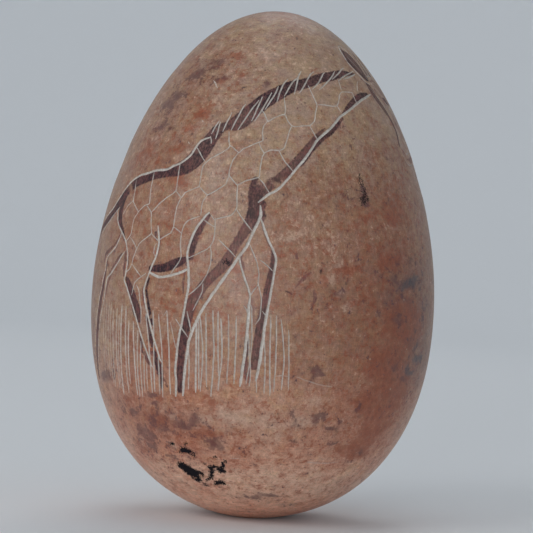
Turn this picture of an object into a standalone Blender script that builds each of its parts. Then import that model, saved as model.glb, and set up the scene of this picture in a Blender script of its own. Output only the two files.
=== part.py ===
"""Polished stone egg with a standing giraffe cut into its side.

One solid piece. Metres, +Z up the egg's long axis, origin at the centre of the small
flat it stands on. The middle of the drawing faces -Y. A place on the egg is written
as (angle, height): degrees round the egg from -Y, positive towards +X, and
millimetres above the flat.
"""

import math

import bmesh
import bpy
from mathutils import Vector

# Driving dimensions
EGG_LENGTH = 0.0762      # pole to pole, before the flat is ground
EGG_WIDTH = 0.05155      # largest diameter
EGG_DROP = 0.00648       # how far the widest place lies below the middle of the length
REST_RADIUS = 0.0032     # the flat ground on the blunt end
GROOVE_WIDTH = 0.0008    # the bold cut lines, at the surface
GROOVE_DEPTH = 0.00025

# How finely the shape is made
ROUND_STEPS = 64
PROFILE_STEPS = 40
GROOVE_STEP = 0.0024     # longest straight piece of a groove
MERGE = 0.00001

# Bold lines of the drawing, as (angle, height)
BACK = [(-80, 42.4), (-74, 44), (-67, 46), (-60.5, 48.6), (-55, 49.7), (-46, 50.5), (-40, 50.8),
        (-35, 51.6), (-31, 53), (-28.5, 54.8), (-24.5, 55.5)]
THROAT = [(-3.3, 46.5), (2.5, 48.3), (8, 50.8), (16, 54.8), (25, 57.9), (35, 60.5), (45, 62.3), (56, 63.8)]
CHEST = [(-2.6, 46), (-2.2, 44.6), (-6, 40.4), (-10, 37.5), (-15, 34), (-19.5, 30.7), (-22.9, 27),
         (-24.5, 23), (-26, 18.8)]
NEAR_FORELEG = [(-19.7, 44.7), (-23, 42.9), (-25.4, 39.8), (-25, 37.2), (-24.2, 34.5), (-25.2, 31),
                (-27.2, 26), (-28.2, 21.5), (-28.8, 18.6)]
FAR_FORELEG_BACK = [(-8.2, 38.8), (-6, 35.8), (-4.2, 33), (-4.3, 28), (-5.1, 24), (-6, 20.7)]
FAR_FORELEG_FRONT = [(-2.2, 44.3), (0.5, 41.5), (3.4, 38.8), (2.7, 35.5), (1.2, 30), (0.2, 25), (-0.8, 21.7)]
BELLY = [(-39.5, 35.8), (-34.5, 35.3), (-28.5, 35.9), (-24.8, 36.7)]
NEAR_HIND_BACK = [(-64.5, 44.4), (-60.5, 42.4), (-55, 40.6), (-51.2, 38), (-51.6, 34.5), (-46.6, 31.3),
                  (-41.5, 26.4), (-37.4, 22.5)]
NEAR_HIND_FRONT = [(-38.8, 42.5), (-37.3, 39.6), (-39.8, 35.7), (-41.3, 33.4), (-38.3, 28.8), (-33.5, 23.3)]
FAR_HIND_BACK = [(-57.3, 41.2), (-60, 39.1), (-65.2, 37.6), (-67.5, 32.8), (-71, 28), (-74, 23)]
FAR_HIND_FRONT = [(-53.3, 38.5), (-62.8, 34.7), (-64.5, 31), (-68.6, 26.5), (-71.5, 23)]
EAR = [(61.5, 65.2), (58, 65.5), (52.9, 67), (50.2, 68.6), (51.8, 70.6)]
EAR_TOP = [(51.8, 70.6), (55.5, 70.7), (59.5, 69.9), (62.4, 68.5), (63.2, 67.2), (62.2, 65.9)]
JAW = [(59.3, 64), (64, 62.1), (68.9, 59.8), (67.4, 57.2), (65.7, 54.9), (72, 53.6), (77, 53.9)]
FACE = [(63.6, 66.3), (69, 66.6), (75, 65.7), (80, 63.2), (83, 59.8), (83.6, 56.7), (81.3, 54.6), (77, 53.9)]

STROKES = {
    "back": BACK, "throat": THROAT, "chest": CHEST, "near_foreleg": NEAR_FORELEG,
    "far_foreleg_back": FAR_FORELEG_BACK, "far_foreleg_front": FAR_FORELEG_FRONT, "belly": BELLY,
    "near_hind_back": NEAR_HIND_BACK, "near_hind_front": NEAR_HIND_FRONT,
    "far_hind_back": FAR_HIND_BACK, "far_hind_front": FAR_HIND_FRONT,
    "ear": EAR, "ear_top": EAR_TOP, "jaw": JAW, "face": FACE,
}


def rest_cut():
    """Height lost from the blunt end when the flat of REST_RADIUS is ground."""
    a = EGG_WIDTH ** 2
    b = a * EGG_LENGTH - 8 * EGG_DROP * REST_RADIUS ** 2
    c = (REST_RADIUS * (EGG_LENGTH - 2 * EGG_DROP)) ** 2
    return (b - math.sqrt(b * b - 4 * a * c)) / (2 * a)


REST_CUT = rest_cut()


def egg_radius(height):
    """Radius at a height above the flat. The curve is an ellipse with its wide part moved down."""
    x = height + REST_CUT - EGG_LENGTH / 2
    inside = EGG_LENGTH ** 2 - 4 * x * x
    across = EGG_LENGTH ** 2 + 8 * EGG_DROP * x + 4 * EGG_DROP ** 2
    return EGG_WIDTH / 2 * math.sqrt(max(inside, 0) / across)


def on_egg(angle, height, lift):
    """Point on the egg at (degrees, millimetres), moved out along the surface's normal."""
    turn = math.radians(angle)
    z = height / 1000
    nudge = 0.00001
    slope = (egg_radius(z + nudge) - egg_radius(z - nudge)) / (2 * nudge)
    out = Vector((math.sin(turn), -math.cos(turn), -slope)).normalized()
    r = egg_radius(z)
    return Vector((r * math.sin(turn), -r * math.cos(turn), z)) + out * lift


def smooth_path(points):
    """Catmull-Rom curve through (angle, height) points, cut into pieces of about GROOVE_STEP."""
    padded = [points[0]] + points + [points[-1]]
    path = [points[0]]
    for p, a, b, n in zip(padded, padded[1:], padded[2:], padded[3:]):
        length = (on_egg(*b, 0) - on_egg(*a, 0)).length
        pieces = max(1, math.ceil(length / GROOVE_STEP))
        for i in range(1, pieces + 1):
            t = i / pieces
            path.append(tuple(
                0.5 * (2 * a[k] + (b[k] - p[k]) * t + (2 * p[k] - 5 * a[k] + 4 * b[k] - n[k]) * t ** 2
                       + (3 * a[k] - p[k] - 3 * b[k] + n[k]) * t ** 3)
                for k in (0, 1)
            ))
    return path


def new_collection(name):
    collection = bpy.data.collections.new(name)
    bpy.context.scene.collection.children.link(collection)
    return collection


def stone_material():
    material = bpy.data.materials.new("stone")
    material.use_nodes = True
    shader = material.node_tree.nodes["Principled BSDF"]
    shader.inputs["Base Color"].default_value = (0.33, 0.17, 0.105, 1)
    shader.inputs["Roughness"].default_value = 0.42
    shader.inputs["Metallic"].default_value = 0
    return material


def egg(collection):
    """The turned body: half a profile, top to bottom, with a Screw modifier."""
    last_turn = math.acos(-1 + 2 * REST_CUT / EGG_LENGTH)
    profile = []
    for i in range(PROFILE_STEPS + 1):
        height = EGG_LENGTH / 2 * (1 + math.cos(last_turn * i / PROFILE_STEPS)) - REST_CUT
        profile.append((egg_radius(height), 0, height))
    profile[0] = (0, 0, EGG_LENGTH - REST_CUT)
    profile[-1] = (REST_RADIUS, 0, 0)
    profile.append((0, 0, 0))

    mesh = bpy.data.meshes.new("stone_egg")
    mesh.from_pydata(profile, [(i, i + 1) for i in range(len(profile) - 1)], [])
    body = bpy.data.objects.new("stone_egg", mesh)
    body.data.materials.append(stone_material())
    collection.objects.link(body)

    turned = body.modifiers.new("turned", "SCREW")
    turned.steps = ROUND_STEPS
    turned.render_steps = ROUND_STEPS
    turned.use_merge_vertices = True
    turned.merge_threshold = MERGE
    turned.use_smooth_shade = True
    return body


def groove_cutter(name, points, collection):
    """A bevelled curve along a stroke, set above the surface so that a shallow part of it cuts."""
    half = GROOVE_WIDTH / 2
    tube = (half ** 2 + GROOVE_DEPTH ** 2) / (2 * GROOVE_DEPTH)
    curve = bpy.data.curves.new(name, "CURVE")
    curve.dimensions = "3D"
    curve.bevel_depth = tube
    curve.bevel_resolution = 1
    curve.use_fill_caps = True
    path = smooth_path(points)
    spline = curve.splines.new("POLY")
    spline.points.add(len(path) - 1)
    for point, place in zip(spline.points, path):
        point.co = (*on_egg(*place, tube - GROOVE_DEPTH), 1)
    guide = bpy.data.objects.new(name + "_guide", curve)
    collection.objects.link(guide)
    return guide


def as_mesh(guide, name, collection):
    """The guide curve as a closed mesh with welded caps."""
    ready = guide.evaluated_get(bpy.context.evaluated_depsgraph_get())
    mesh = bpy.data.meshes.new_from_object(ready)
    shape = bmesh.new()
    shape.from_mesh(mesh)
    bmesh.ops.remove_doubles(shape, verts=shape.verts, dist=MERGE)
    shape.to_mesh(mesh)
    shape.free()
    cutter = bpy.data.objects.new(name, mesh)
    cutter.matrix_world = guide.matrix_world.copy()
    cutter.hide_render = True
    cutter.display_type = "WIRE"
    collection.objects.link(cutter)
    bpy.data.objects.remove(guide)
    return cutter


def main():
    for old in list(bpy.context.scene.objects):
        bpy.data.objects.remove(old)
    part = new_collection("carved_giraffe_egg")
    cutters = new_collection("cutters")
    body = egg(part)
    guides = {name: groove_cutter(name, points, cutters) for name, points in STROKES.items()}
    bpy.context.view_layer.update()
    for name, guide in guides.items():
        cutter = as_mesh(guide, name + "_cutter", cutters)
        cut = body.modifiers.new(name, "BOOLEAN")
        cut.operation = "DIFFERENCE"
        cut.solver = "EXACT"
        cut.object = cutter


main()
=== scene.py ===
"""Looks of the carved giraffe egg: the cut and dyed stone, the pale stage, lights and camera.

The egg stands on its small flat with +Z up its long axis, and the middle of the drawing
faces -Y. A place on the egg is written (angle, height): degrees round the egg from -Y,
positive towards +X, and millimetres above the flat for an egg 76 mm tall. The egg's
surface is unrolled to a plane that keeps angles, so a line's width is the same in all
directions there. The part of the mesh that has the drawing is triangulated in that plane,
with edges along the lips and the bottom of every cut line.
"""

import math
import random

import bpy
import numpy as np
from mathutils import Matrix, Vector, geometry, noise


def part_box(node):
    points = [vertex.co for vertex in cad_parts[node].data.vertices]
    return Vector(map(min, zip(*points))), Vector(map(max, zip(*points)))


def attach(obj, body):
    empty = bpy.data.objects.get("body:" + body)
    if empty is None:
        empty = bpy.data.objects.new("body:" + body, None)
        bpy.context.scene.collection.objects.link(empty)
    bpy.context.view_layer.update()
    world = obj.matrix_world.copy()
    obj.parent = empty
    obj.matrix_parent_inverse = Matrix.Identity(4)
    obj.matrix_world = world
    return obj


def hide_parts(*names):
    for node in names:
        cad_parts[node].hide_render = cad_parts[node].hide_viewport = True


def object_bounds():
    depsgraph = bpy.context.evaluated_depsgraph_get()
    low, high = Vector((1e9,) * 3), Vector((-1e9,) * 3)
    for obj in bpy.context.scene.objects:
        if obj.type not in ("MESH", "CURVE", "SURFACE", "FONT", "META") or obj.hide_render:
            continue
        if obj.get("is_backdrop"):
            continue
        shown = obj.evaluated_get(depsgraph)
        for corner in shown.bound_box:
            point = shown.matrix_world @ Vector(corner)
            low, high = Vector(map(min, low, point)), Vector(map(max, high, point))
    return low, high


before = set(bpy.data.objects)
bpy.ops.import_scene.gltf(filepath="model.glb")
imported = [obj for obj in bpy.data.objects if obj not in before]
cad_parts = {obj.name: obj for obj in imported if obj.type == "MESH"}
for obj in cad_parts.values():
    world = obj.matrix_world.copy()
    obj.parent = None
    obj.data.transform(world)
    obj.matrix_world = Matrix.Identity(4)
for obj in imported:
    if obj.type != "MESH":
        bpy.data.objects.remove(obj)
bounds_at_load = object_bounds()

# The egg, in millimetres, from the frame's solid
LOW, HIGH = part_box("stone_egg")
MM = 0.001
TALL = (HIGH.z - LOW.z) / MM
WIDE = (HIGH.x - LOW.x) / MM
DRAWN_TALL = 76.0                # the height that the drawing's heights are written for
DRAWN = TALL / DRAWN_TALL
GROUND_SHARE = 0.00267           # share of the length that the flat takes off
LENGTH = TALL / (1 - GROUND_SHARE)
GROUND = LENGTH - TALL
DROP = 0.085 * LENGTH            # how far the widest place lies below the middle of the length
PROFILE_PLACES = 20000           # heights at which the side is measured

# The mesh, in millimetres and degrees
COLUMNS = 180                    # steps round the egg
COLUMN_STEP = 360 / COLUMNS
ROW_STEP = 0.9                   # rows along the side
TIP_RADIUS = 0.6                 # of the last row, round the tip
TIP_SINK = 0.06                  # the tip is worn down by this
PATCH_ANGLE = 98                 # the drawing's patch reaches this far to each side
PATCH_LOW, PATCH_HIGH = 3.5, 73.0        # heights between which it lies
LINE_STEP = 0.36                 # points along a cut line
PATCH_STEP = 0.5                 # rows of points inside the patch
PATCH_STRETCH = 1.12             # a row's points are this much further apart
BAND_STEP = 0.5                  # points along a brush band
BAND_BESIDE = 0.12               # and this far inside and outside its edge
SPOT_STEP = 0.24                 # points inside a small stain
SPOT_MOST = 0.7                  # a stain is small when its lesser reach is under this
SPOT_REACHES = 2                 # its points go this many reaches out, and a little more
SPOT_ROUND = 4.5                 # square of the reaches at which its corners are cut off
SPECIAL_CELL = 0.2               # points for bands and stains keep about this far apart
LOOSE_CELL = 0.3                 # and all the points inside the patch this far
CLEARANCE = 0.15                 # points this near a cut line are left out
RIM = 0.2                        # so are points this near the patch's border, or beyond it
MERGE = 0.0004                   # points nearer than this in the unrolled plane become one
SHARP = 26                       # the lip of a cut stays crisp above this angle
FAR = 4.0                        # half widths at which a line is no longer felt; also stands for far
TINY = 1e-18                     # keeps a segment of no length from dividing by zero

# The stone's skin, in millimetres
WEAR_DEPTH = 0.05                # sanding takes off this much on average, and up to twice this
WEAR_SIZE = 11                   # size of the hollows
STAIN_PUSH = 0.45                # stains' outlines are pushed about by this
STAIN_PUSH_SIZE = 1.3            # in waves of this size
PUSH_GAP = Vector((7.3, 2.1, 5.9))       # between the two places in the noise that give the push
PAINTED_LIGHT_FOOT = 27                   # painted light: the stone's colour is painted lighter and cooler below this height
MOST_STAIN = 1.2                 # stains of a kind that overlap add up to no more than this
BACK_LOW, BACK_HIGH = 5, 72      # heights between which the stains on the back are strewn

# ---------------------------------------------------------------- the drawing

# How each kind of line is cut: depth in mm, or (width, depth, whiteness) where all are alike
BOLD_DEPTH = 0.15
MANE_CUT = (0.27, 0.11, 0.9)
NET_CUT = (0.23, 0.09, 0.75)
GRASS_DEPTH = 0.09
SCUFF_DEPTH = 0.04
CURVED = 1.0                     # bend of a line made in one sweep
ANGULAR = 0.45                   # bend of the net's lines, which turn at their points
END_SHARE = 0.55                 # a line's ends have this share of its width and depth
TAPER = 0.9                      # mm over which an end widens to the full width
END_TURNS = (50, 0, -50)         # degrees at which points go round an end
CUT_ROUND = 0.7                  # power that shapes a cut: 1 is a parabola, 0.5 half an ellipse
WIDE_LINE = 0.33                 # lines wider than this get two more rows of points inside
INNER_ROWS = (-0.55, 0.55)       # at these shares of the half width
WIDTH_WOBBLE = (0.12, 0.4)       # size and pace of a line's wobble, as shares of its width
DEPTH_WOBBLE = (0.3, 0.6)        # of its depth
WHITE_WOBBLE = (0.22, 0.35)      # and of its whiteness
PLACE_WOBBLE = (0.05, 0.28)      # size in mm and pace of its sideways wobble
THINNEST_BAND = 0.1              # mm, for a brush band
BAND_REACH = 2.5                 # mm from a band's edge within which it is felt
SPECK_STRENGTH = 0.85
SPECK_LENGTH = 0.3               # degrees
NOISE_ROW = 7.31                 # gap between the rows of noise that the wobbles are read from
MEASURE_ROWS = 400               # rows kept for each of a line's measures

# Bold cut lines: width in mm, whiteness, then (angle, height) points
BOLD_LINES = [
    (0.42, 1, [(-90, 37.8), (-86, 40.6), (-80, 42.8), (-74, 44.1), (-70, 44.8), (-67, 46), (-64, 47.2),
        (-60.5, 48.6), (-55, 49.7), (-50, 50.1), (-46, 50.5), (-40.5, 50.7), (-38, 51.2), (-35, 51.6),
        (-32.5, 52.3), (-31, 53), (-29.8, 54), (-28.5, 54.8), (-27, 55.2), (-24.4, 55.5)]),
    (0.34, 0.8, [(-88.5, 36.8), (-85, 39.1), (-80, 40.9), (-75, 41.9), (-70, 43.1), (-63, 45.1)]),
    (0.43, 1, [(-3.3, 46.5), (0, 47.7), (2.5, 48.3), (5, 49.3), (10, 51.8), (13, 53.2), (16, 54.8),
        (18.5, 56), (25, 57.9), (30, 59.5), (35, 60.5), (45, 62.3), (50, 62.9), (56, 63.6)]),
    (0.52, 1, [(-2.6, 46), (-2.2, 44.9), (-3, 43.7), (-6, 40.4), (-8, 39), (-12.5, 35.7), (-19.5, 30.7),
        (-22.9, 27), (-23.8, 25), (-26, 18.8)]),
    (0.44, 1, [(-19.7, 44.7), (-21.3, 44), (-24, 42), (-25.6, 39.5), (-25.6, 38.3), (-24.8, 36.8),
        (-24.2, 34.5), (-24.6, 33), (-25.8, 29), (-26.5, 27.7), (-27.2, 26), (-28.3, 22), (-28.2, 20.8),
        (-28.8, 18.6)]),
    (0.46, 1, [(-39.8, 35.9), (-37.5, 35.5), (-34.5, 35.3), (-28.5, 35.9), (-24.7, 36.7)]),
    (0.36, 1, [(-8.2, 38.8), (-7.5, 37.5), (-4.5, 34), (-4.1, 33), (-4.2, 31)]),
    (0.52, 1, [(-4.1, 33), (-4.4, 28), (-5.1, 24), (-6, 20.7)]),
    (0.42, 1, [(-2.2, 44.3), (0.5, 41.5), (2.3, 40), (3.4, 38.8), (3.2, 37.3), (1.2, 30)]),
    (0.52, 1, [(1.8, 32), (1.2, 30), (0.1, 24.5), (-0.8, 21.6)]),
    (0.36, 0.95, [(-64.5, 44.5), (-62.5, 43.3), (-60.5, 42.4), (-57.5, 41.5), (-53.3, 39.9), (-51, 37.8),
        (-51, 35.5), (-51.6, 34.5), (-50, 33.7), (-46.6, 31.3), (-43.6, 28.6), (-40.8, 25.7),
        (-37.4, 22.5)]),
    (0.38, 1, [(-38.8, 42.5), (-37.4, 40.5), (-37.2, 39.3), (-37.8, 38), (-39.8, 35.7), (-41.3, 33.4),
        (-40.8, 32.3), (-40, 31), (-35, 24.8), (-34.3, 23.8), (-33.5, 23.3)]),
    (0.42, 0.8, [(-57.3, 41.2), (-58.5, 40), (-59.7, 39.2), (-62, 38.5), (-64.5, 37.9), (-65.3, 37),
        (-65.2, 36), (-66, 34.8), (-70.8, 28.6), (-76.6, 20)]),
    (0.4, 0.85, [(-53.3, 38.6), (-58, 36.3), (-60, 35.5), (-62.8, 34.7), (-63.2, 34), (-63.6, 32.5),
        (-64.5, 31), (-66, 29.5), (-69.3, 25.6), (-73.6, 20)]),
    (0.38, 0.95, [(61.5, 65.2), (58, 65.5), (55.3, 66.2), (51, 67.8), (50.2, 68.6), (50.6, 69.7),
        (51.8, 70.6)]),
    (0.3, 0.7, [(51.8, 70.6), (55.5, 70.7), (59.5, 69.9), (62.4, 68.5), (63.2, 67.2), (62.2, 65.9)]),
    (0.28, 0.7, [(60.4, 64.6), (62.4, 63.5), (67.8, 61.1), (69.7, 59.8), (69.8, 58.5), (66.8, 56.1),
        (66.6, 55), (68.2, 54), (72, 53.6), (77, 53.9)]),
    (0.3, 0.8, [(63.6, 66.3), (69, 66.6), (75, 65.7), (80, 63.2), (83, 59.8), (83.6, 56.7), (81.3, 54.6),
        (77, 53.9)]),
    (0.24, 0.7, [(64.6, 66.6), (65.9, 68.1), (66.4, 69.7), (67.6, 70.2), (68.3, 69.5), (67.2, 68),
        (66.4, 66.7)]),
    (0.24, 0.7, [(69.8, 66.6), (71.8, 68), (72.6, 69.4), (73.9, 69.9), (74.6, 69.1), (73.4, 67.7),
        (71.8, 66.5)]),
]

# The hatched mane: (angle, height) points from the neck up to the edge
MANE_LINES = [
    [(-24.4, 56), (-23.2, 57.3), (-22.4, 57.9)],
    [(-24.6, 55.6), (-23.8, 55), (-23.6, 54.6)],
    [(-22.2, 55.3), (-21.9, 56.6), (-21.7, 57.8)],
    [(-19.8, 56.4), (-18.8, 57.9), (-17.7, 59.2)],
    [(-16.5, 56.6), (-13.6, 59.7), (-12.4, 60.5)],
    [(-13.8, 56.7), (-9.5, 59.7), (-6.7, 61.2)],
    [(-8.6, 58.1), (-6.3, 60.7), (-5.3, 61.7)],
    [(-7.5, 58.1), (-5, 59.7), (-1.2, 62.4)],
    [(-3.6, 59.9), (0.3, 62.2), (1.8, 63.4)],
    [(1.4, 61), (2.3, 62.2), (3.6, 63.4), (5, 64.1), (6.5, 64.6)],
    [(4.8, 62), (6.6, 63.1), (9, 64.2), (11.6, 64.9)],
    [(9.3, 62.4), (12, 65), (13.8, 65.9)],
    [(12, 62.6), (18, 65.3), (21, 66)],
    [(18.3, 63.3), (22, 64.3), (26, 65.7), (27.6, 66)],
    [(22, 63.3), (28, 64.7), (34.8, 66.4)],
    [(31, 65.1), (41, 66.9), (43.2, 67.1)],
    [(35, 65), (40, 65.8), (50, 66.8)],
    [(38.5, 65.3), (44, 65.8), (50.5, 66.4)],
]

# The net of fine lines round the hide's patches, on the legs and on the face
NET_LINES = [
    [(-56.2, 49), (-55, 47.5), (-54.3, 46), (-52, 45.2), (-49.8, 44.4), (-51.3, 43.4), (-51.3, 41.2),
     (-53.4, 40)],
    [(-59, 44), (-57.2, 45.2), (-54.3, 46.1)],
    [(-46.7, 50.2), (-46, 48), (-44.9, 45.7), (-47, 45.4), (-49.8, 44.4)],
    [(-46.2, 45.4), (-43, 44.4), (-41.8, 42.4), (-41.1, 41.4), (-44, 40.5), (-46, 39.8), (-48, 37.8),
     (-48.2, 36.9), (-49.3, 36.1), (-51, 35.6)],
    [(-43, 44.4), (-40, 45.7), (-37, 46.7), (-34, 47.6), (-34.5, 50), (-35, 51.6)],
    [(-34, 47.6), (-31.2, 46.7), (-30, 47.4), (-27.5, 47.9), (-25, 48.3), (-25, 50), (-25, 51.3),
     (-22.5, 52.4), (-19, 53.2), (-16.5, 53.9), (-15.6, 54.4), (-12, 53.4), (-10.5, 54), (-5, 55),
     (-3.3, 55.3), (-3.8, 56.5), (-3.5, 57.5), (-2.3, 58.1)],
    [(-31.2, 46.7), (-32.3, 45.3), (-32.3, 42.5), (-33, 41.6), (-35.5, 41), (-37.8, 40.5), (-41.1, 41.4)],
    [(-29.5, 54), (-24.4, 51.9)],
    [(-17.3, 56.4), (-16.5, 55), (-15.9, 54.3)],
    [(-12.2, 53.4), (-13.8, 52.3), (-14.5, 51), (-14.4, 50.1), (-12.5, 49.3), (-11, 48.8), (-8.5, 49.4),
     (-5, 49.9), (-3.7, 50.1), (-3.5, 51.5), (-3.2, 53), (-2.6, 53.5), (-4, 54.3), (-4.8, 55)],
    [(-25, 48.4), (-21.3, 47.2), (-18, 48), (-15.2, 48.8), (-14.8, 49.6), (-14.4, 50.1)],
    [(-21.3, 47.2), (-22.7, 46.2), (-22.6, 44.3)],
    [(-11, 48.8), (-10.8, 47), (-10.4, 45.6), (-12, 44.5), (-17.2, 43.8)],
    [(-10.4, 45.4), (-9, 44.5), (-4.4, 42.3)],
    [(-2.6, 53.5), (0, 54), (3, 54), (5, 54.5), (7, 57.1), (8, 57.7)],
    [(3, 54), (5, 52.6), (8.6, 51)],
    [(-3.7, 49.9), (-2, 49.2), (0.2, 47.9)],
    [(15.5, 57.8), (16.7, 56.9), (18, 56)],
    [(-5, 59.8), (-3.5, 59.2), (-2, 58.1), (0, 58.6), (3, 59.1), (5, 59.3), (6, 58.5), (7.5, 57.8),
     (9, 57.6), (13, 57.8), (15.5, 57.9), (17.5, 58.6), (18.5, 59.8), (19.6, 61), (18, 62.6),
     (16.7, 63.8)],
    [(5, 59.3), (5.2, 60.2), (4.7, 61.8)],
    [(19.6, 61), (21.5, 61.1), (29.5, 61.1), (33, 62.9), (34.7, 63.3), (38, 63.4), (41.3, 63.4),
     (41.5, 62.6), (42, 61.8)],
    [(45.7, 63.8), (47.2, 64.5), (49.2, 65.3)],
    [(34.7, 63.6), (35, 65.3)],
    [(29.7, 61.2), (31.2, 60.2)],
    [(-28.8, 41.6), (-30.3, 42), (-32.3, 42.5)],
    [(-23, 44.1), (-26.8, 43.5), (-28.2, 42.8), (-28.8, 41.6), (-28.6, 40), (-27.8, 38.3), (-28.7, 37.3),
     (-30.5, 36.2), (-31.2, 35.6)],
    [(-51.4, 40.7), (-49.5, 40.2), (-47, 39.2)],
    [(-47.8, 36.8), (-45.5, 36), (-43.2, 35.2)],
    [(-41, 35.7), (-45.8, 34.3), (-46.8, 32.5)],
    [(-45, 34), (-43.5, 33.2), (-42.8, 31.8), (-42, 30.5), (-42, 28.5)],
    [(-38.2, 40), (-38.7, 39.5), (-38.7, 38.7), (-38, 38.2)],
    [(-17.3, 44), (-17, 41), (-18, 40), (-20, 39.3), (-25, 38.2)],
    [(-18, 40), (-17.4, 39), (-17.3, 37.8), (-18.3, 36), (-20, 34.7), (-22, 33.7), (-24.2, 33)],
    [(-19.3, 34.7), (-19.4, 33.5), (-22.2, 30.9)],
    [(-15.5, 41), (-11, 39.4), (-9.5, 38.7)],
    [(-21.8, 43.8), (-19.5, 43.2), (-17.3, 42.7)],
    [(-18.9, 44.3), (-17.2, 43.5)],
    [(-5.3, 40.6), (-2.4, 38), (-1.7, 36.5), (-1.8, 35.2), (-0.4, 33), (-0.7, 30.4), (-1.8, 29.5)],
    [(-1.8, 35), (-3, 34.2), (-4, 33.3)],
    [(-1.8, 38.5), (0, 38), (2.5, 37)],
    [(-4.1, 32.5), (-3.3, 31.5), (-2.8, 28), (-3, 24.4), (-2.7, 22), (-3, 20.8)],
    [(-3.9, 28), (-3.2, 24), (-4, 21)],
    [(0, 31.3), (1.3, 30.6)],
    [(-6, 32), (-5, 31.5), (-4.3, 30.6)],
    [(-0.7, 21.6), (-0.5, 19.9)],
    [(68.2, 56), (71.5, 55.3), (75, 55.5), (78, 56.3)],
    [(77.6, 57.8), (79.3, 57.4), (80.4, 58)],
    [(70.3, 62.4), (72.5, 61.7), (75, 62.1)],
]

# Grass blades: top angle, top height, foot angle, foot height, bow in degrees, width, whiteness
GRASS = [
    (-20, 29.8, -19.9, 19.9, 0.2, 0.27, 0.8), (2.7, 30.6, 4, 19.6, -0.2, 0.26, 0.8),
    (4.5, 30.8, 5.2, 20.2, 0.2, 0.25, 0.75), (6, 30.3, 7.7, 20.5, 0.7, 0.25, 0.75),
    (8.5, 28.9, 10, 20.5, 0, 0.24, 0.7), (1.2, 27.5, 2, 19.8, 0.2, 0.24, 0.75),
    (-8, 30.4, -8, 21, 0.3, 0.26, 0.8), (-10.5, 30.6, -10.3, 21, 0.4, 0.25, 0.75),
    (-12.8, 30, -13.3, 19.9, 1, 0.28, 0.85), (-13.8, 31, -13, 22, 0, 0.27, 0.8),
    (-15.5, 31, -15.7, 19, 0.9, 0.28, 0.85), (-17.7, 30.6, -17.2, 20.3, 0.2, 0.27, 0.8),
    (-19.6, 30.3, -19.4, 19.6, 1.1, 0.27, 0.8), (-20.8, 29.8, -21.1, 19.4, 0.3, 0.36, 0.85),
    (-24.2, 30.7, -22.5, 27.9, 0.1, 0.25, 0.8), (-28, 29.5, -23.6, 27.1, 0, 0.24, 0.8),
    (-23.4, 26.3, -23.8, 19.8, 0.5, 0.25, 0.8), (-29.9, 29, -27.8, 25.4, 0, 0.22, 0.7),
    (-31.4, 30.6, -30.8, 18.8, 0.7, 0.27, 0.8), (-32.5, 29.9, -31.4, 30.7, 0, 0.2, 0.6),
    (-34.5, 30, -34.2, 18.3, 1.2, 0.26, 0.8), (-36.9, 30.5, -36.3, 26.4, 0.1, 0.27, 0.8),
    (-39.8, 30, -38.5, 18.8, 0.9, 0.28, 0.8), (-36.5, 26, -37.3, 19, 0.2, 0.28, 0.8),
    (-34.8, 24, -35.3, 18.7, 0.3, 0.27, 0.8), (-39.8, 23, -40.5, 19, 0, 0.24, 0.6),
    (-40.7, 24, -42, 18.9, 0, 0.26, 0.7), (-42, 26, -43.5, 18, 0, 0.28, 0.7),
    (-43.3, 27.5, -45, 18, 0, 0.3, 0.7), (-45.5, 28.7, -46, 18.2, 0.3, 0.32, 0.75),
    (-47.7, 28.8, -49, 19.7, 0, 0.34, 0.7), (-49.3, 30.8, -50.8, 18.4, 0.3, 0.4, 0.6),
    (-51.5, 31, -54.2, 18, 0.3, 0.4, 0.7), (-54.3, 30.4, -56, 19, 0, 0.38, 0.55),
    (-56.7, 30, -59, 19, 0.6, 0.38, 0.55), (-58, 31.2, -60, 19.3, 0, 0.34, 0.5),
    (-59.5, 31.6, -61.5, 20.5, 0, 0.34, 0.45), (-61.5, 31, -62.8, 21.5, 0, 0.34, 0.42),
    (-63.3, 30.8, -65, 21, 0, 0.34, 0.42), (-52.9, 29.5, -55, 18.8, 0, 0.28, 0.5),
]

# Faint scuffs away from the drawing: width in mm, whiteness, points
SCUFFS = [
    (0.22, 0.3, [(12.5, 22.4), (17, 21.8), (22, 21.3), (25, 21.2)]),
    (0.32, 0.3, [(22, 10.1), (30, 9.9), (37, 10.1)]),
    (0.2, 0.4, [(-10, 10.1), (-6, 10.2)]),
    (0.25, 0.7, [(-32, 64), (-30.2, 63.5), (-28.3, 62.9)]),
    (0.3, 0.7, [(-33.8, 54.7), (-33.2, 54.5)]),
    (0.3, 0.6, [(-30.3, 57.9), (-29.7, 57.7)]),
    (0.2, 0.4, [(54, 69.1), (56.7, 68), (60, 66.9)]),
    (0.2, 0.35, [(5, 22.3), (7.5, 22.5), (10, 22.4)]),
]

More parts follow.
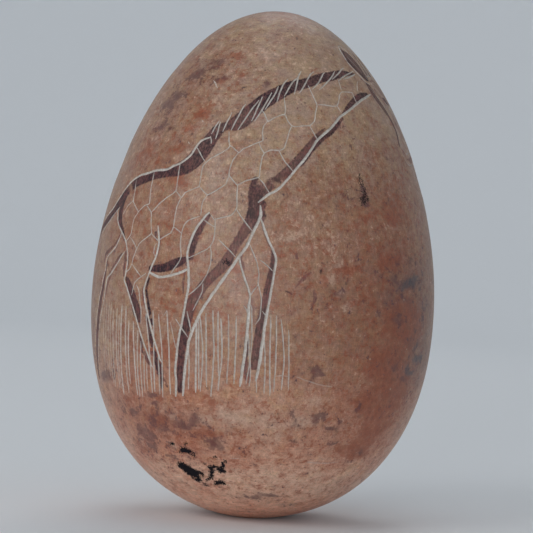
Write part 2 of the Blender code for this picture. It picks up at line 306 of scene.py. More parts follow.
# Dark dye laid with a brush before the cutting, and stray marks of it: strength, then
# (angle, height, width in mm)
DYE = [
    (0.96, [(-62, 46.9, 1.6), (-58, 48, 1.7), (-55, 48.8, 1.5), (-50, 49.3, 1.4), (-45, 49.9, 1.5),
        (-40, 50.2, 1.5), (-32, 51.2, 2.6), (-27.5, 53, 2.8), (-23.5, 55.6, 2.1), (-22, 56.4, 1.9)]),
    (0.95, [(-60.5, 47.2, 1.5), (-62, 46.6, 1.8), (-70, 43.9, 1.4), (-80, 41.9, 1.2), (-85, 40.2, 1),
        (-89, 37.8, 1.3), (-91.5, 35.3, 2), (-92.5, 33, 1.2)]),
    (0.95, [(-62, 46.5, 1.6), (-60.8, 43.8, 1.2), (-59.5, 42.7, 1), (-57, 41.8, 0.7),
        (-54.5, 40.4, 0.5)]),
    (0.92, [(-24, 55.9, 1.6), (-22.5, 56.5, 1.8), (-19.5, 57.1, 1.5), (-16.8, 57.4, 1.4)]),
    (0.9, [(-15.8, 57.5, 2), (-13.6, 57.9, 2.7), (-8.6, 59.7, 2.5)]),
    (1, [(-8.6, 59.7, 2.5), (-2, 61.6, 2.4), (8, 63.5, 2)]),
    (0.97, [(8, 63.5, 2), (16, 64.2, 1.7), (25, 65.2, 1.6), (30, 65.5, 1.6), (39.5, 66.2, 1.25),
        (50, 66.4, 0.3)]),
    (0.86, [(-2, 47.9, 1), (0, 48.8, 1.4), (6, 51, 1.4), (16, 55.5, 1), (18.5, 56.6, 0.7),
        (22, 57.6, 0.4)]),
    (0.95, [(11, 51.8, 0.4), (15, 54, 0.6), (20, 56, 0.7), (25, 57.4, 0.9), (31.5, 59.5, 0.4)]),
    (0.97, [(32, 60.1, 0.4), (36, 61.1, 0.9), (40, 62.1, 0.8), (45, 62.9, 1), (50, 63.3, 0.9),
        (53, 63.5, 0.5)]),
    (0.93, [(-5, 49.7, 1), (-4.8, 48.5, 1.8), (-4.3, 47, 2.3), (-3.9, 45.8, 2.3), (-4.7, 44.4, 2.1),
        (-5.8, 43.4, 1.7)]),
    (0.82, [(-6.2, 43, 1.7), (-9.8, 40.2, 1.3), (-11.5, 38.6, 1.6), (-13.5, 37.2, 1.6), (-16, 36, 1.4)]),
    (0.84, [(-16, 36, 1.4), (-18.5, 34.8, 1.5), (-22.8, 31.8, 1.7), (-23.8, 30, 1.6)]),
    (0.95, [(-23.8, 30, 1.6), (-25.7, 25, 1.2), (-26.8, 20.5, 1.1), (-27, 19.4, 0.8)]),
    (1, [(-13, 38.2, 0.8), (-11.4, 37.8, 1)]),
    (0.9, [(-1.6, 46.3, 1), (-1.2, 45, 0.8), (-1.4, 44, 0.6)]),
    (0.82, [(-3.7, 48.9, 1.1), (-1.5, 48.7, 1.2), (0.8, 49, 1.1)]),
    (1, [(-39.5, 36.4, 0.8), (-34, 36.6, 1.3), (-28.5, 37.5, 1.4), (-25.3, 38.1, 0.5)]),
    (0.92, [(-20, 44.2, 0.9), (-21.5, 43.2, 1.1), (-23.7, 40.6, 1.1), (-24.1, 38, 0.7)]),
    (0.75, [(-25.9, 36.3, 0.4), (-26.2, 34.8, 0.5), (-25.8, 33.2, 0.3)]),
    (0.7, [(-52.3, 38.5, 0.5), (-52.2, 36.5, 0.6), (-51.9, 35.2, 0.5)]),
    (0.6, [(-50.2, 38.5, 0.4), (-50.2, 36.5, 0.4)]),
    (0.95, [(-50.3, 34.9, 0.5), (-48.8, 34.1, 1.1), (-45, 31.2, 1.6), (-43.7, 29.8, 1.5),
        (-42.8, 28.9, 0.8)]),
    (0.85, [(-42, 27, 0.6), (-41.8, 25.5, 0.6), (-41.6, 24.5, 0.4)]),
    (0.85, [(-40.4, 24.6, 0.4), (-39.4, 23.5, 0.8), (-38.6, 22.9, 0.5)]),
    (0.7, [(-37.8, 24.6, 0.5), (-37, 24, 0.3)]),
    (0.7, [(-36.8, 41, 0.35), (-36.6, 39.5, 0.35), (-37.1, 38, 0.3)]),
    (0.8, [(-39.3, 41.6, 0.5), (-38.4, 40.5, 0.4)]),
    (1, [(-39.5, 35, 0.5), (-40.2, 33.6, 0.5), (-39.4, 32, 0.5), (-37.1, 28.6, 0.6)]),
    (0.7, [(-41.7, 33.8, 0.3), (-41.4, 32.5, 0.4), (-40.6, 31, 0.3)]),
    (1, [(-39.6, 29.6, 0.5), (-38.5, 28, 0.5), (-37.6, 26.4, 0.8), (-37, 25.5, 0.5)]),
    (0.95, [(-36.2, 24.6, 0.7), (-35.4, 23.2, 0.9), (-35.1, 21.6, 0.6)]),
    (0.95, [(-33.9, 23, 0.6), (-33.7, 21.3, 0.7), (-34.1, 19.6, 0.5)]),
    (0.7, [(-32.6, 20.8, 0.3), (-31.9, 19.9, 0.5)]),
    (0.86, [(2.2, 39.8, 0.5), (2.6, 38.8, 0.7), (2.2, 37.3, 0.8), (-0.3, 30.3, 1), (-1.6, 24.2, 1.1),
        (-1.6, 23.3, 0.8)]),
    (1, [(-1.4, 25.6, 0.7), (-1.6, 24.3, 0.9)]),
    (0.6, [(-1.6, 43.5, 0.3), (0, 41.7, 0.35), (1.4, 40.4, 0.4)]),
    (0.7, [(-7.8, 38.9, 0.5), (-7, 37.8, 0.5), (-6.3, 36.8, 0.3)]),
    (0.85, [(-4, 27.3, 0.4), (-4.4, 23.5, 0.6), (-4.2, 21.6, 0.4)]),
    (0.8, [(-3.2, 24, 0.25), (-3.2, 22.5, 0.4), (-3.3, 21.3, 0.3)]),
    (0.4, [(-3.4, 33, 0.5), (-2.9, 31, 0.6), (-2.4, 29.5, 0.5)]),
    (0.75, [(-57.8, 41, 0.5), (-59.5, 39.9, 0.5), (-65, 38.5, 0.6), (-67, 38, 0.6), (-66.8, 37, 0.4)]),
    (0.85, [(-64.5, 37, 0.5), (-64.7, 35.2, 0.7), (-65.5, 33, 0.8), (-67, 31, 1), (-72, 24.3, 1),
        (-73.8, 22.3, 1), (-75.4, 20, 1)]),
    (0.75, [(-54.6, 38.3, 0.4), (-57, 37.3, 0.6), (-61.5, 35.3, 0.3)]),
    (0.65, [(-60, 35, 0.4), (-61.7, 34, 0.5), (-62.6, 32.3, 0.4)]),
    (0.9, [(51.7, 70.2, 0.3), (55.2, 69.1, 2), (57.4, 68.2, 2.5), (59.4, 67.3, 2.2), (61.1, 66.3, 1.3),
        (61.8, 65.8, 0.6)]),
    (1, [(51.4, 69.9, 0.5), (51.5, 68.9, 0.8), (53.4, 67.8, 0.9), (59, 66.1, 0.7), (61, 65.8, 0.5)]),
    (0.88, [(58.2, 65.2, 0.8), (59.4, 64.2, 1.4), (60.9, 63, 1.4), (65.4, 60.8, 0.9), (67.1, 59.7, 0.7),
        (67.7, 58.4, 0.6), (66, 57, 0.6), (65.3, 56, 0.5)]),
    (0.6, [(63.6, 65.6, 0.3), (70, 65.9, 0.5), (75, 65, 0.6), (79.4, 62.7, 0.6), (82.4, 59.5, 0.5)]),
    (0.6, [(69.5, 54.4, 0.3), (75, 54.4, 0.9), (79.5, 55, 0.8), (82.3, 56.9, 0.5)]),
    (1, [(71.4, 63.2, 0.8), (73.6, 62.9, 1), (75, 62.5, 0.5)]),
    (0.7, [(79.9, 57.6, 0.35), (80.8, 58.2, 0.3)]),
    (0.9, [(65.5, 66.7, 0.5), (66.6, 68.2, 0.5), (67.3, 69.7, 0.6)]),
    (0.9, [(70.8, 66.6, 0.5), (72.6, 67.9, 0.5), (73.7, 69.4, 0.6)]),
    (0.5, [(68.5, 65.2, 0.8), (72, 64.6, 1), (76, 63, 1)]),
    (0.45, [(64, 64.5, 0.6), (66.5, 63.5, 0.9), (69, 62.5, 0.8)]),
    (0.4, [(72, 60.2, 0.9), (74.5, 58.6, 1.1), (76.5, 57.6, 0.7)]),
    (0.7, [(17.2, 41.8, 0.2), (17.6, 40.6, 0.32), (17.8, 39.8, 0.42), (18.2, 39, 0.6),
        (18.6, 38.5, 0.45)]),
    (0.7, [(18.6, 38.5, 0.3), (19.9, 38.1, 0.38), (20.9, 38.3, 0.36)]),
    (0.65, [(10, 34.8, 0.2), (11.1, 35.5, 0.34), (12.7, 36.3, 0.62), (13.6, 36.7, 0.45),
        (14.8, 37.1, 0.2)]),
    (0.6, [(9.9, 39.6, 0.42), (10, 38.9, 0.46)]),
    (0.95, [(18, 37.5, 0.36), (17.9, 37.1, 0.3)]),
    (0.9, [(6.9, 34.3, 0.3), (7.6, 34.2, 0.34), (8.8, 33.9, 0.28)]),
    (0.6, [(15.9, 34.5, 0.5), (16.5, 33.6, 0.6), (16, 32.9, 0.45), (15.4, 32.3, 0.35)]),
    (0.95, [(15.5, 32.5, 0.3), (15.4, 32.2, 0.36)]),
]

# Near black flakes left in the stone's skin, low on the left: strength, then (angle, height, width)
FLAKES = [
    (1, [(-35.6, 8.3, 0.7), (-34.4, 8.4, 1.3), (-33, 8.1, 1.9), (-30.2, 7.4, 2.1), (-29, 7.2, 1.8),
        (-27.8, 7.4, 1.1), (-26, 7.6, 0.7), (-24.5, 7.4, 0.7)]),
    (1, [(-24.6, 7.5, 0.6), (-24.3, 7, 0.5)]),
    (1, [(-31.3, 6.9, 0.6), (-30, 6.4, 0.7), (-28.7, 6.2, 0.9), (-27.5, 6.7, 0.8)]),
    (1, [(-31.5, 10.5, 0.6), (-30, 10.8, 1.1), (-28.2, 10.8, 1), (-26.8, 10.6, 0.8), (-25.7, 10.7, 0.4)]),
    (1, [(-26.5, 10.5, 0.6), (-26, 9.9, 0.4)]),
    (0.9, [(-28.3, 11.8, 0.4), (-27.5, 11.9, 0.4)]),
    (1, [(-23.5, 6.5, 0.5), (-21.8, 6.7, 0.6), (-20.5, 7, 0.7), (-19.4, 7.6, 0.7), (-18.8, 8.5, 0.9)]),
    (1, [(-19.8, 8.6, 0.6), (-17.8, 8.6, 0.8), (-16, 8.6, 0.7), (-14.6, 8.2, 1), (-13.3, 9, 0.7),
        (-12, 9.7, 0.5)]),
    (1, [(-15.2, 8, 0.7), (-12.8, 8, 0.4)]),
    (1, [(-19.3, 5.9, 0.5), (-17.8, 6.2, 1), (-16.3, 6.3, 1.1), (-14.6, 6.1, 0.7)]),
    (1, [(-35, 11.5, 0.5), (-34.2, 11.6, 0.6)]),
    (0.8, [(-25.8, 5.8, 0.4), (-24.8, 5.5, 0.6)]),
    (0.9, [(-16.2, 10, 0.4), (-15.6, 10.3, 0.4)]),
    (0.7, [(-21.8, 9.1, 0.35), (-21.2, 9.1, 0.35)]),
]

# Small black specks: (angle, height, width)
SPECKS = [
    (34.3, 50.8, 0.7), (34.4, 49.6, 0.7), (33.8, 48.3, 1), (36.3, 48.3, 0.85), (36.9, 47.6, 0.75),
    (35.1, 47.1, 0.85), (34.3, 47.5, 0.65), (-12.9, 38, 0.8), (-12.1, 37.8, 0.7),
]

# Stains in the stone: (angle, height, reach across in mm, reach up in mm, amount)
RUST = [
    (-32.4, 58.5, 0.9, 0.6, 1), (-30, 59.3, 0.9, 0.8, 0.8), (-35.5, 56.7, 0.9, 0.4, 0.8),
    (-38, 53.4, 0.8, 0.6, 0.9), (-45, 55.3, 0.5, 0.4, 0.7), (-28, 63.9, 1.1, 0.6, 0.8),
    (-17, 64.9, 0.5, 0.3, 0.9), (-17, 62.6, 0.9, 0.4, 0.7), (-25.5, 67.8, 1.8, 0.4, 0.6),
    (-55, 53.2, 1.8, 0.5, 0.7), (-61, 52.2, 0.6, 0.3, 0.6), (15, 68.9, 0.8, 0.4, 0.7),
    (-34, 49.3, 1.2, 0.8, 0.8), (-31.5, 48.6, 0.5, 0.7, 0.7), (-9.2, 37.1, 0.8, 0.5, 1.2),
    (13.6, 48.6, 0.4, 0.6, 0.9), (7, 47.8, 0.6, 0.3, 0.7), (2, 47, 0.6, 0.25, 0.7),
    (10.6, 46.7, 0.6, 0.3, 0.7), (15, 46.4, 0.5, 0.4, 0.8), (1.8, 45.2, 0.5, 0.3, 0.6),
    (8, 45.7, 0.5, 0.3, 0.6), (29.5, 49.7, 0.6, 0.5, 0.6), (44, 49.2, 1.5, 0.8, 0.9),
    (46.5, 47.8, 1.4, 0.6, 0.8), (34, 45.8, 2.6, 1.2, 0.55), (48, 45.8, 1, 1, 0.6),
    (5.5, 39.5, 0.4, 0.2, 0.7), (8, 43.3, 1.2, 0.3, 0.6), (22, 37.3, 0.5, 0.3, 0.7),
    (28.3, 37.7, 0.8, 0.35, 1), (30.4, 38.2, 0.5, 0.25, 0.8), (19.5, 36, 0.4, 0.8, 0.6),
    (45, 39.5, 1.8, 1, 0.6), (41.2, 37.7, 0.3, 1.4, 0.7), (43, 24.3, 1.7, 1.5, 1),
    (47, 24.6, 1.8, 1, 0.7), (56, 22.6, 1.4, 0.5, 1), (55, 29.8, 3, 1.1, 0.9), (53, 32, 2.4, 1.2, 0.6),
    (42, 18.9, 2, 0.9, 1), (48, 18.5, 2.2, 1, 1), (49.5, 15.4, 1.8, 1.2, 0.9), (38.6, 12.3, 1.1, 0.3, 1),
    (41, 11.6, 2.2, 0.8, 0.8), (46.5, 13.3, 1.6, 0.8, 0.7), (47.5, 11.2, 1.2, 0.5, 0.8),
    (52, 20.8, 3, 1.6, 0.6), (-31, 24.7, 1.2, 0.9, 0.9), (-37.5, 24.9, 0.8, 0.4, 0.9),
    (-47, 26, 0.6, 1.2, 0.8), (-48, 20.4, 0.5, 1, 0.7), (-6, 28.2, 0.3, 0.5, 1),
    (-15.6, 18.2, 0.7, 0.5, 0.8), (-40, 15.1, 2, 0.9, 0.7), (-52, 17.4, 2.3, 0.5, 0.6),
    (-18, 13.5, 1.1, 0.5, 1), (-53, 10.2, 2.2, 0.6, 0.8), (-22.8, 19.4, 0.7, 0.3, 0.6),
    (-45, 8.6, 1.3, 0.3, 0.6),
]
DARK = [
    (-3.5, 63.5, 0.45, 0.4, 1.2), (-59, 60.5, 0.8, 0.4, 0.8), (-53.5, 60.2, 1.1, 0.6, 0.9),
    (-51, 61.8, 1.1, 0.6, 0.9), (-45.7, 64.9, 0.8, 0.6, 1), (-44, 65.5, 0.4, 0.3, 0.9),
    (-36.5, 66.9, 1.6, 0.5, 0.7), (-35, 65.9, 0.6, 0.3, 0.9), (-26, 64.3, 0.8, 0.4, 0.9),
    (-52, 57, 0.8, 0.4, 0.7), (-48.5, 57.4, 0.6, 0.3, 0.7), (-46, 56.3, 0.5, 0.45, 1),
    (28, 47.5, 0.5, 0.6, 0.7), (22.3, 46.8, 0.7, 0.5, 0.7), (31.7, 55.7, 0.4, 0.2, 0.8),
    (35.1, 48.5, 0.5, 1, 1.2), (51.5, 54.1, 0.8, 0.4, 0.7), (23, 34.3, 0.6, 0.4, 0.8),
    (26, 34.2, 0.4, 0.5, 0.9), (38.5, 31.5, 0.35, 0.22, 1.1), (39.3, 32.3, 0.12, 0.4, 0.9),
    (47, 36.8, 0.35, 0.4, 1), (48, 31.3, 0.8, 0.5, 0.8), (51, 30.6, 1.2, 0.3, 0.8),
    (50.5, 24.2, 0.9, 0.6, 0.9), (56.5, 22.3, 1, 0.3, 0.9), (37, 18.6, 0.25, 0.25, 1.1),
    (36.6, 18, 0.3, 0.15, 1.1), (38.3, 17, 0.35, 0.25, 0.8), (17.4, 23.6, 0.6, 0.38, 1.1),
    (17.9, 22.7, 0.35, 0.3, 1), (20.5, 23.1, 0.45, 0.35, 1.1), (17.2, 21.8, 0.2, 0.35, 0.8),
    (16, 24.6, 0.5, 0.18, 0.7), (13.4, 22.9, 0.3, 0.2, 1), (23.4, 24.5, 0.25, 0.25, 0.8),
    (12.1, 17.2, 0.3, 0.5, 0.9), (13.2, 15.6, 0.25, 0.8, 0.8), (20.4, 17, 0.8, 0.35, 1),
    (20.8, 16.1, 0.3, 0.5, 0.9), (23.7, 16.9, 0.45, 0.5, 1), (24.2, 15.5, 0.25, 0.45, 0.7),
    (30.5, 16, 0.5, 0.3, 0.9), (30, 14.9, 0.7, 0.5, 0.8), (27, 15, 0.4, 0.3, 0.8),
    (13.2, 13.3, 0.45, 0.2, 0.8), (31, 12.9, 1, 0.3, 0.9), (28, 10.4, 0.4, 0.15, 0.8),
    (47, 11.6, 0.5, 0.5, 1), (42, 10.2, 1.1, 0.3, 1), (9.8, 6.2, 0.5, 0.14, 1), (8, 4.8, 1, 0.4, 0.8),
    (13.5, 4.6, 1.2, 0.2, 0.7), (2, 4.2, 1, 0.5, 0.7), (-38.5, 18.4, 1.2, 0.3, 1.1),
    (-37.8, 17.3, 0.7, 0.25, 0.9), (-51, 15.6, 0.7, 0.25, 1), (-46.5, 12.2, 1, 0.6, 1.1),
    (-49.5, 13.2, 0.9, 0.5, 0.8), (-46.5, 10.9, 0.8, 0.25, 0.9), (-39.3, 9.6, 0.45, 0.18, 1),
    (-28, 14.5, 0.9, 0.4, 0.8), (-22.4, 15.4, 0.5, 0.7, 0.9), (-15.7, 12.2, 0.8, 0.5, 0.9),
    (-13.2, 11.6, 0.35, 0.25, 1), (-14.2, 12.9, 0.25, 0.3, 0.7), (-17.3, 11.4, 0.4, 0.2, 0.7),
    (-37, 13.5, 0.8, 0.25, 0.7), (-25, 5.6, 0.4, 0.25, 1), (-66, 20.3, 1.8, 0.7, 0.9),
]
SLATE = [
    (59, 36.9, 1.5, 0.4, 1), (53, 36, 1.3, 0.5, 1), (56, 36.4, 1, 0.5, 0.8), (50, 35.3, 1, 0.35, 0.8),
    (53, 33.8, 1.2, 0.22, 0.8), (64.5, 38.2, 0.9, 0.5, 0.6), (43.5, 33.3, 1.4, 0.8, 0.4),
    (60.5, 23.2, 1.4, 0.4, 1), (57.5, 24.1, 0.6, 0.35, 0.9), (63.5, 25.3, 1.6, 0.7, 0.9),
    (62, 27.4, 1.8, 0.5, 0.6), (67, 47.5, 0.6, 0.3, 0.7), (66, 33, 2, 3, 0.4), (70, 24, 2.5, 3, 0.4),
    (44, 34.3, 1.3, 0.7, 0.35), (5, 1.6, 4, 0.6, 0.4), (23, 3.2, 1.3, 0.35, 0.5),
]
# Pale stone, and painted light: the wide spot at (2, 15.5) is a painted soft highlight low on the front
PALE_AND_SHEEN = [
    (-45, 68.7, 1.6, 0.5, 0.7), (-27, 61.6, 1.2, 0.5, 0.7), (-24, 60.3, 1.8, 0.7, 0.5),
    (-10, 68.4, 2, 0.8, 0.5), (9.5, 44.3, 1.1, 0.4, 1), (12.4, 43.6, 0.5, 0.3, 0.7),
    (8, 41.8, 0.8, 0.6, 0.7), (4, 42, 0.5, 0.5, 0.6), (22, 41.3, 0.7, 0.6, 0.7),
    (24, 38.3, 0.6, 0.5, 0.8), (21.5, 36.1, 0.7, 0.6, 0.8), (39, 42.8, 0.8, 0.4, 0.7),
    (45, 44.1, 1, 0.5, 0.5), (53, 39.8, 0.6, 0.35, 1), (27, 32.4, 0.9, 0.4, 0.8),
    (50, 31.3, 0.7, 0.22, 1), (48, 30.4, 0.4, 0.22, 0.9), (39.7, 31.8, 0.45, 0.8, 0.6),
    (37.5, 22, 1.2, 0.8, 0.7), (19, 18.8, 0.9, 0.6, 0.9), (16.4, 16, 1.1, 0.6, 1),
    (64, 26.6, 0.8, 0.25, 0.9), (-31.3, 15.6, 0.5, 0.5, 1), (-18, 15.5, 0.7, 0.7, 1),
    (-10, 16.4, 1.3, 0.7, 0.7), (2, 15.5, 4, 1.5, 0.5), (-33.6, 17, 0.4, 0.3, 0.7),
    (-34.5, 11.4, 0.7, 0.6, 0.6), (-34.5, 11.6, 0.4, 0.4, 0.8), (8.5, 13.8, 0.5, 0.5, 0.6),
]
# Broad areas, where the flecks of each kind are dense
RUST_AREAS = [
    (-42, 61, 6, 4, 0.4), (-28, 67, 5, 2.5, 0.35), (-56, 52, 4, 4, 0.45), (-46, 42, 6, 5, 0.4),
    (-28, 43, 4, 4, 0.35), (-45, 33, 5, 4, 0.35), (-20, 33, 5, 4, 0.25), (14, 41, 5, 4, 0.3),
    (22, 34, 6, 4, 0.3), (47, 44, 6, 7, 0.4), (48, 30, 6, 6, 0.5), (46, 17, 6, 5, 0.6),
    (20, 22, 6, 4, 0.25), (-40, 14, 8, 4, 0.45), (-12, 14, 8, 4, 0.3), (-30, 24, 7, 4, 0.35),
    (10, 12, 8, 4, 0.3), (0, 5, 8, 2, 0.35), (62, 50, 5, 6, 0.3), (15, 55, 6, 4, 0.12),
    (58, 28, 5, 9, 0.4), (-22, 31, 5, 3, 0.3), (10, 34, 4, 4, 0.25),
]
DARK_AREAS = [
    (-47, 62, 5, 3.5, 0.38), (-36, 66, 5, 2.5, 0.3), (-54, 56, 3, 3, 0.3), (-62, 50, 3, 3, 0.25),
    (28, 48, 6, 2, 0.2), (45, 48, 5, 3, 0.2), (54, 37, 5, 3, 0.55), (38, 38, 4, 4, 0.15),
    (57, 28, 5, 6, 0.35), (50, 19, 5, 4, 0.15), (-44, 14, 6, 2.5, 0.5), (-28, 15.5, 5, 1.5, 0.4),
    (-17, 12, 4, 3, 0.3), (18, 22, 3, 2, 0.25), (18, 15, 6, 2.5, 0.3), (4, 4, 4, 1.2, 0.5),
    (20, 34, 4, 3, 0.25), (-60, 20, 5, 5, 0.4), (-74, 27, 4, 6, 0.3), (-40, 9, 7, 3, 0.4),
]
# Pale areas, partly painted light: (-15, 47) and (-5, 16) are painted soft highlights, and (-64, 58) is a
# painted pale reflection along the left edge
PALE_AND_SHEEN_AREAS = [
    (0, 68, 9, 4, 0.3), (-15, 47, 4, 3, 0.4), (12, 42, 4, 3, 0.35), (24, 38, 4, 3, 0.3),
    (0, 60, 8, 4, 0.1), (-5, 16, 8, 2, 0.5), (-64, 58, 3, 7, 0.35), (25, 8, 6, 3, 0.35),
    (30, 63, 5, 3, 0.1), (35, 6, 6, 2, 0.4),
]
# Broad tints: positive is redder and darker, negative greyer. (-7, 14) and (8, 7) are painted sheen, greyer
# and lighter low on the front.
TINTS = [
    (-40, 12, 14, 8, 1), (-10, 10, 9, 7, 0.7), (-35, 24, 8, 5, 0.35), (47, 18, 8, 9, 1),
    (50, 38, 9, 14, 0.9), (-45, 60, 9, 9, 0.7), (-45, 42, 7, 5, 0.5), (18, 36, 8, 9, 0.4),
    (12, 22, 8, 8, 0.2), (15, 68, 14, 8, -0.6), (15, 56, 10, 7, -0.4), (-5, 60, 8, 6, -0.4),
    (-44, 19, 8, 4, 0.4), (-7, 14, 5, 3, -0.7), (8, 7, 14, 4, -1), (-20, 7, 6, 3, -0.3),
    (-8, 36, 5, 5, 0.5),
]
BACK_TINTS = [
    (120, 50, 8, 8, 0.6), (165, 22, 10, 9, 0.8), (-140, 55, 9, 7, 0.5), (-120, 18, 9, 8, 0.8),
    (-165, 40, 7, 9, 0.4), (150, 66, 12, 8, -0.8), (-100, 40, 9, 12, 0.5), (100, 28, 9, 12, 0.6),
]
# Each kind's marks, and for the side without a drawing how many stains, and the biggest and smallest
STAINS = {
    "rust": (RUST + RUST_AREAS, 34, 2.6, 0.8),
    "dark": (DARK + DARK_AREAS, 44, 1.5, 0.5),
    "slate": (SLATE, 10, 2.6, 0.8),
    "pale": (PALE_AND_SHEEN + PALE_AND_SHEEN_AREAS, 30, 2.2, 0.7),
}


# ---------------------------------------------------------------- the egg's shape

def egg_radius(height):
    """Radius in mm at a height above the flat: an ellipse with its wide part moved down."""
    x = height + GROUND - LENGTH / 2
    inside = np.clip(LENGTH ** 2 - 4 * x * x, 0, None)
    return WIDE / 2 * np.sqrt(inside / (LENGTH ** 2 + 8 * DROP * x + 4 * DROP ** 2))


def running_sum(values, steps):
    """Trapezoid integral of values, from 0 at the first one."""
    return np.concatenate([[0], np.cumsum((values[1:] + values[:-1]) / 2 * steps)])


HEIGHTS = np.linspace(0, TALL, PROFILE_PLACES + 1)[:-1]      # without the tip, whose radius is 0
RADII = egg_radius(HEIGHTS)
SLOPES = np.gradient(RADII, HEIGHTS)
SIDE = running_sum(np.sqrt(1 + SLOPES ** 2), np.diff(HEIGHTS))           # distance up the side
CLIMB = running_sum(np.sqrt(1 + SLOPES ** 2) / RADII, np.diff(HEIGHTS))  # the unrolled height


def to_plane(angles, heights):
    """Unrolled place of (angle, height). One unit there is the egg's radius at that height."""
    return np.stack([np.radians(angles), np.interp(heights * DRAWN, HEIGHTS, CLIMB)], -1)


def plane_height(plane):
    """Height in mm above the flat of plane points."""
    return np.interp(plane[..., 1], CLIMB, HEIGHTS)


def plane_radius(plane):
    """The egg's radius in mm at plane points, which is the plane's scale there."""
    return np.interp(plane_height(plane), HEIGHTS, RADII)


def smooth(points, step, bend=CURVED):
    """Curve through rows that start with (angle, height), a point about every step mm. Bend 1 is a
    Catmull-Rom curve, and 0 runs straight from point to point."""
    rows = np.array(points, float)
    flat = to_plane(rows[:, 0], rows[:, 1])
    gaps = np.hypot(*np.diff(flat, axis=0).T) * plane_radius((flat[1:] + flat[:-1]) / 2)
    rows = np.vstack([2 * rows[0] - rows[1], rows, 2 * rows[-1] - rows[-2]])
    made = [rows[1:2]]
    for before, start, end, after, gap in zip(rows, rows[1:], rows[2:], rows[3:], gaps):
        count = max(1, math.ceil(gap / step))
        t = (np.arange(1, count + 1) / count)[:, None]
        leave = bend * (end - before) / 2 + (1 - bend) * (end - start)
        arrive = bend * (after - start) / 2 + (1 - bend) * (end - start)
        made.append(start + leave * t + (3 * (end - start) - 2 * leave - arrive) * t ** 2
                    + (2 * (start - end) + leave + arrive) * t ** 3)
    return np.vstack(made)


def sideways(path):
    """Unit vectors along a path in the plane, and to its left."""
    along = np.gradient(path, axis=0)
    along = along / np.hypot(*along.T)[:, None]
    return along, np.stack([-along[:, 1], along[:, 0]], -1)


def wander(count, row, size, pace):
    """A slow even wobble along a hand-made line, read from a row of noise."""
    places = [Vector((i * pace, row * NOISE_ROW, 0.5)) for i in range(count)]
    return np.array([noise.noise(place) for place in places]) * size


# ---------------------------------------------------------------- the cut lines

def blade(top_angle, top, foot_angle, foot, bow):
    """Points of a grass blade."""
    middle = ((top_angle + foot_angle) / 2 + bow, (top + foot) / 2)
    return [(top_angle, top), middle, (foot_angle, foot)]


def all_lines():
    """Every cut line as (width, depth, whiteness, bend, points)."""
    lines = [(width, BOLD_DEPTH, white, CURVED, points) for width, white, points in BOLD_LINES]
    lines += [(*MANE_CUT, CURVED, points) for points in MANE_LINES]
    lines += [(*NET_CUT, ANGULAR, points) for points in NET_LINES]
    lines += [(width, GRASS_DEPTH, white, CURVED, blade(*shape)) for *shape, width, white in GRASS]
    lines += [(width, SCUFF_DEPTH, white, CURVED, points) for width, white, points in SCUFFS]
    return lines


class Line:
    """A cut line in the unrolled plane: points, half widths, depths and whiteness."""

    def __init__(self, number, width, depth, white, bend, points):
        path = smooth(points, LINE_STEP, bend)
        count = len(path)
        middle = to_plane(path[:, 0], path[:, 1])
        self.along, self.side = sideways(middle)
        radius = plane_radius(middle)
        ends = np.minimum(np.arange(count), np.arange(count)[::-1]) * LINE_STEP
        taper = END_SHARE + (1 - END_SHARE) * np.clip(ends / TAPER, 0, 1)
        noise_rows = [number + MEASURE_ROWS * i for i in range(4)]
        self.half = width / 2 * taper * (1 + wander(count, noise_rows[0], *WIDTH_WOBBLE)) / radius
        self.depth = depth * taper * (1 + wander(count, noise_rows[1], *DEPTH_WOBBLE))
        self.white = white * (1 + wander(count, noise_rows[2], *WHITE_WOBBLE))
        self.at = middle + self.side * (wander(count, noise_rows[3], *PLACE_WOBBLE) / radius)[:, None]
        self.wide = width > WIDE_LINE

    def end_points(self, end, way):
        """Three points round an end: -1 and 1 for the line's last point, 0 and -1 for its first."""
        turn = np.radians(END_TURNS)[:, None]
        return self.at[end] + way * self.half[end] * (
            self.along[end] * np.cos(turn) + self.side[end] * np.sin(turn))

    def rows(self):
        """The lips, closed round both ends, and the lines inside them, as (points, closed)."""
        half = self.half[:, None]
        left, right = self.at + self.side * half, self.at - self.side * half
        lips = np.vstack([left, self.end_points(-1, 1), right[::-1], self.end_points(0, -1)])
        made = [(lips, True), (self.at, False)]
        if self.wide:
            made += [(self.at + self.side * half * share, False) for share in INNER_ROWS]
        return made

    def segments(self):
        """The line cut into pieces for near_segments, with half widths, whiteness and depths."""
        pairs = [zip(values, values[1:]) for values in (self.half, self.white, self.depth)]
        for start, end, half, white, depth in zip(self.at, self.at[1:], *pairs):
            yield start, end, FAR * max(half), half, white, depth


def band_path(points):
    """A brush band's middle in the unrolled plane, and its half widths in mm."""
    path = smooth(points, BAND_STEP)
    return to_plane(path[:, 0], path[:, 1]), np.clip(path[:, 2], THINNEST_BAND, None) / 2


def band_segments(bands):
    """The bands cut into pieces for near_segments, with half widths and strengths."""
    for strength, points in bands:
        at, half = band_path(points)
        half = half / plane_radius(at)
        for start, end, pair in zip(at, at[1:], zip(half, half[1:])):
            yield start, end, BAND_REACH / plane_radius(start) + max(pair), pair, (strength, strength)


def band_outline(bands):
    """Points beside the bands' edges, so that the mesh can follow them."""
    made = []
    for _, points in bands:
        at, half = band_path(points)
        side = sideways(at)[1]
        for offset in (-BAND_BESIDE, BAND_BESIDE):
            out = side * ((half + offset) / plane_radius(at))[:, None]
            made += [at + out, at - out]
        made.append(at)
    return np.vstack(made)


def specks():
    """The specks as very short bands."""
    return [(SPECK_STRENGTH, [(angle, height, width), (angle + SPECK_LENGTH, height, width)])
            for angle, height, width in SPECKS]


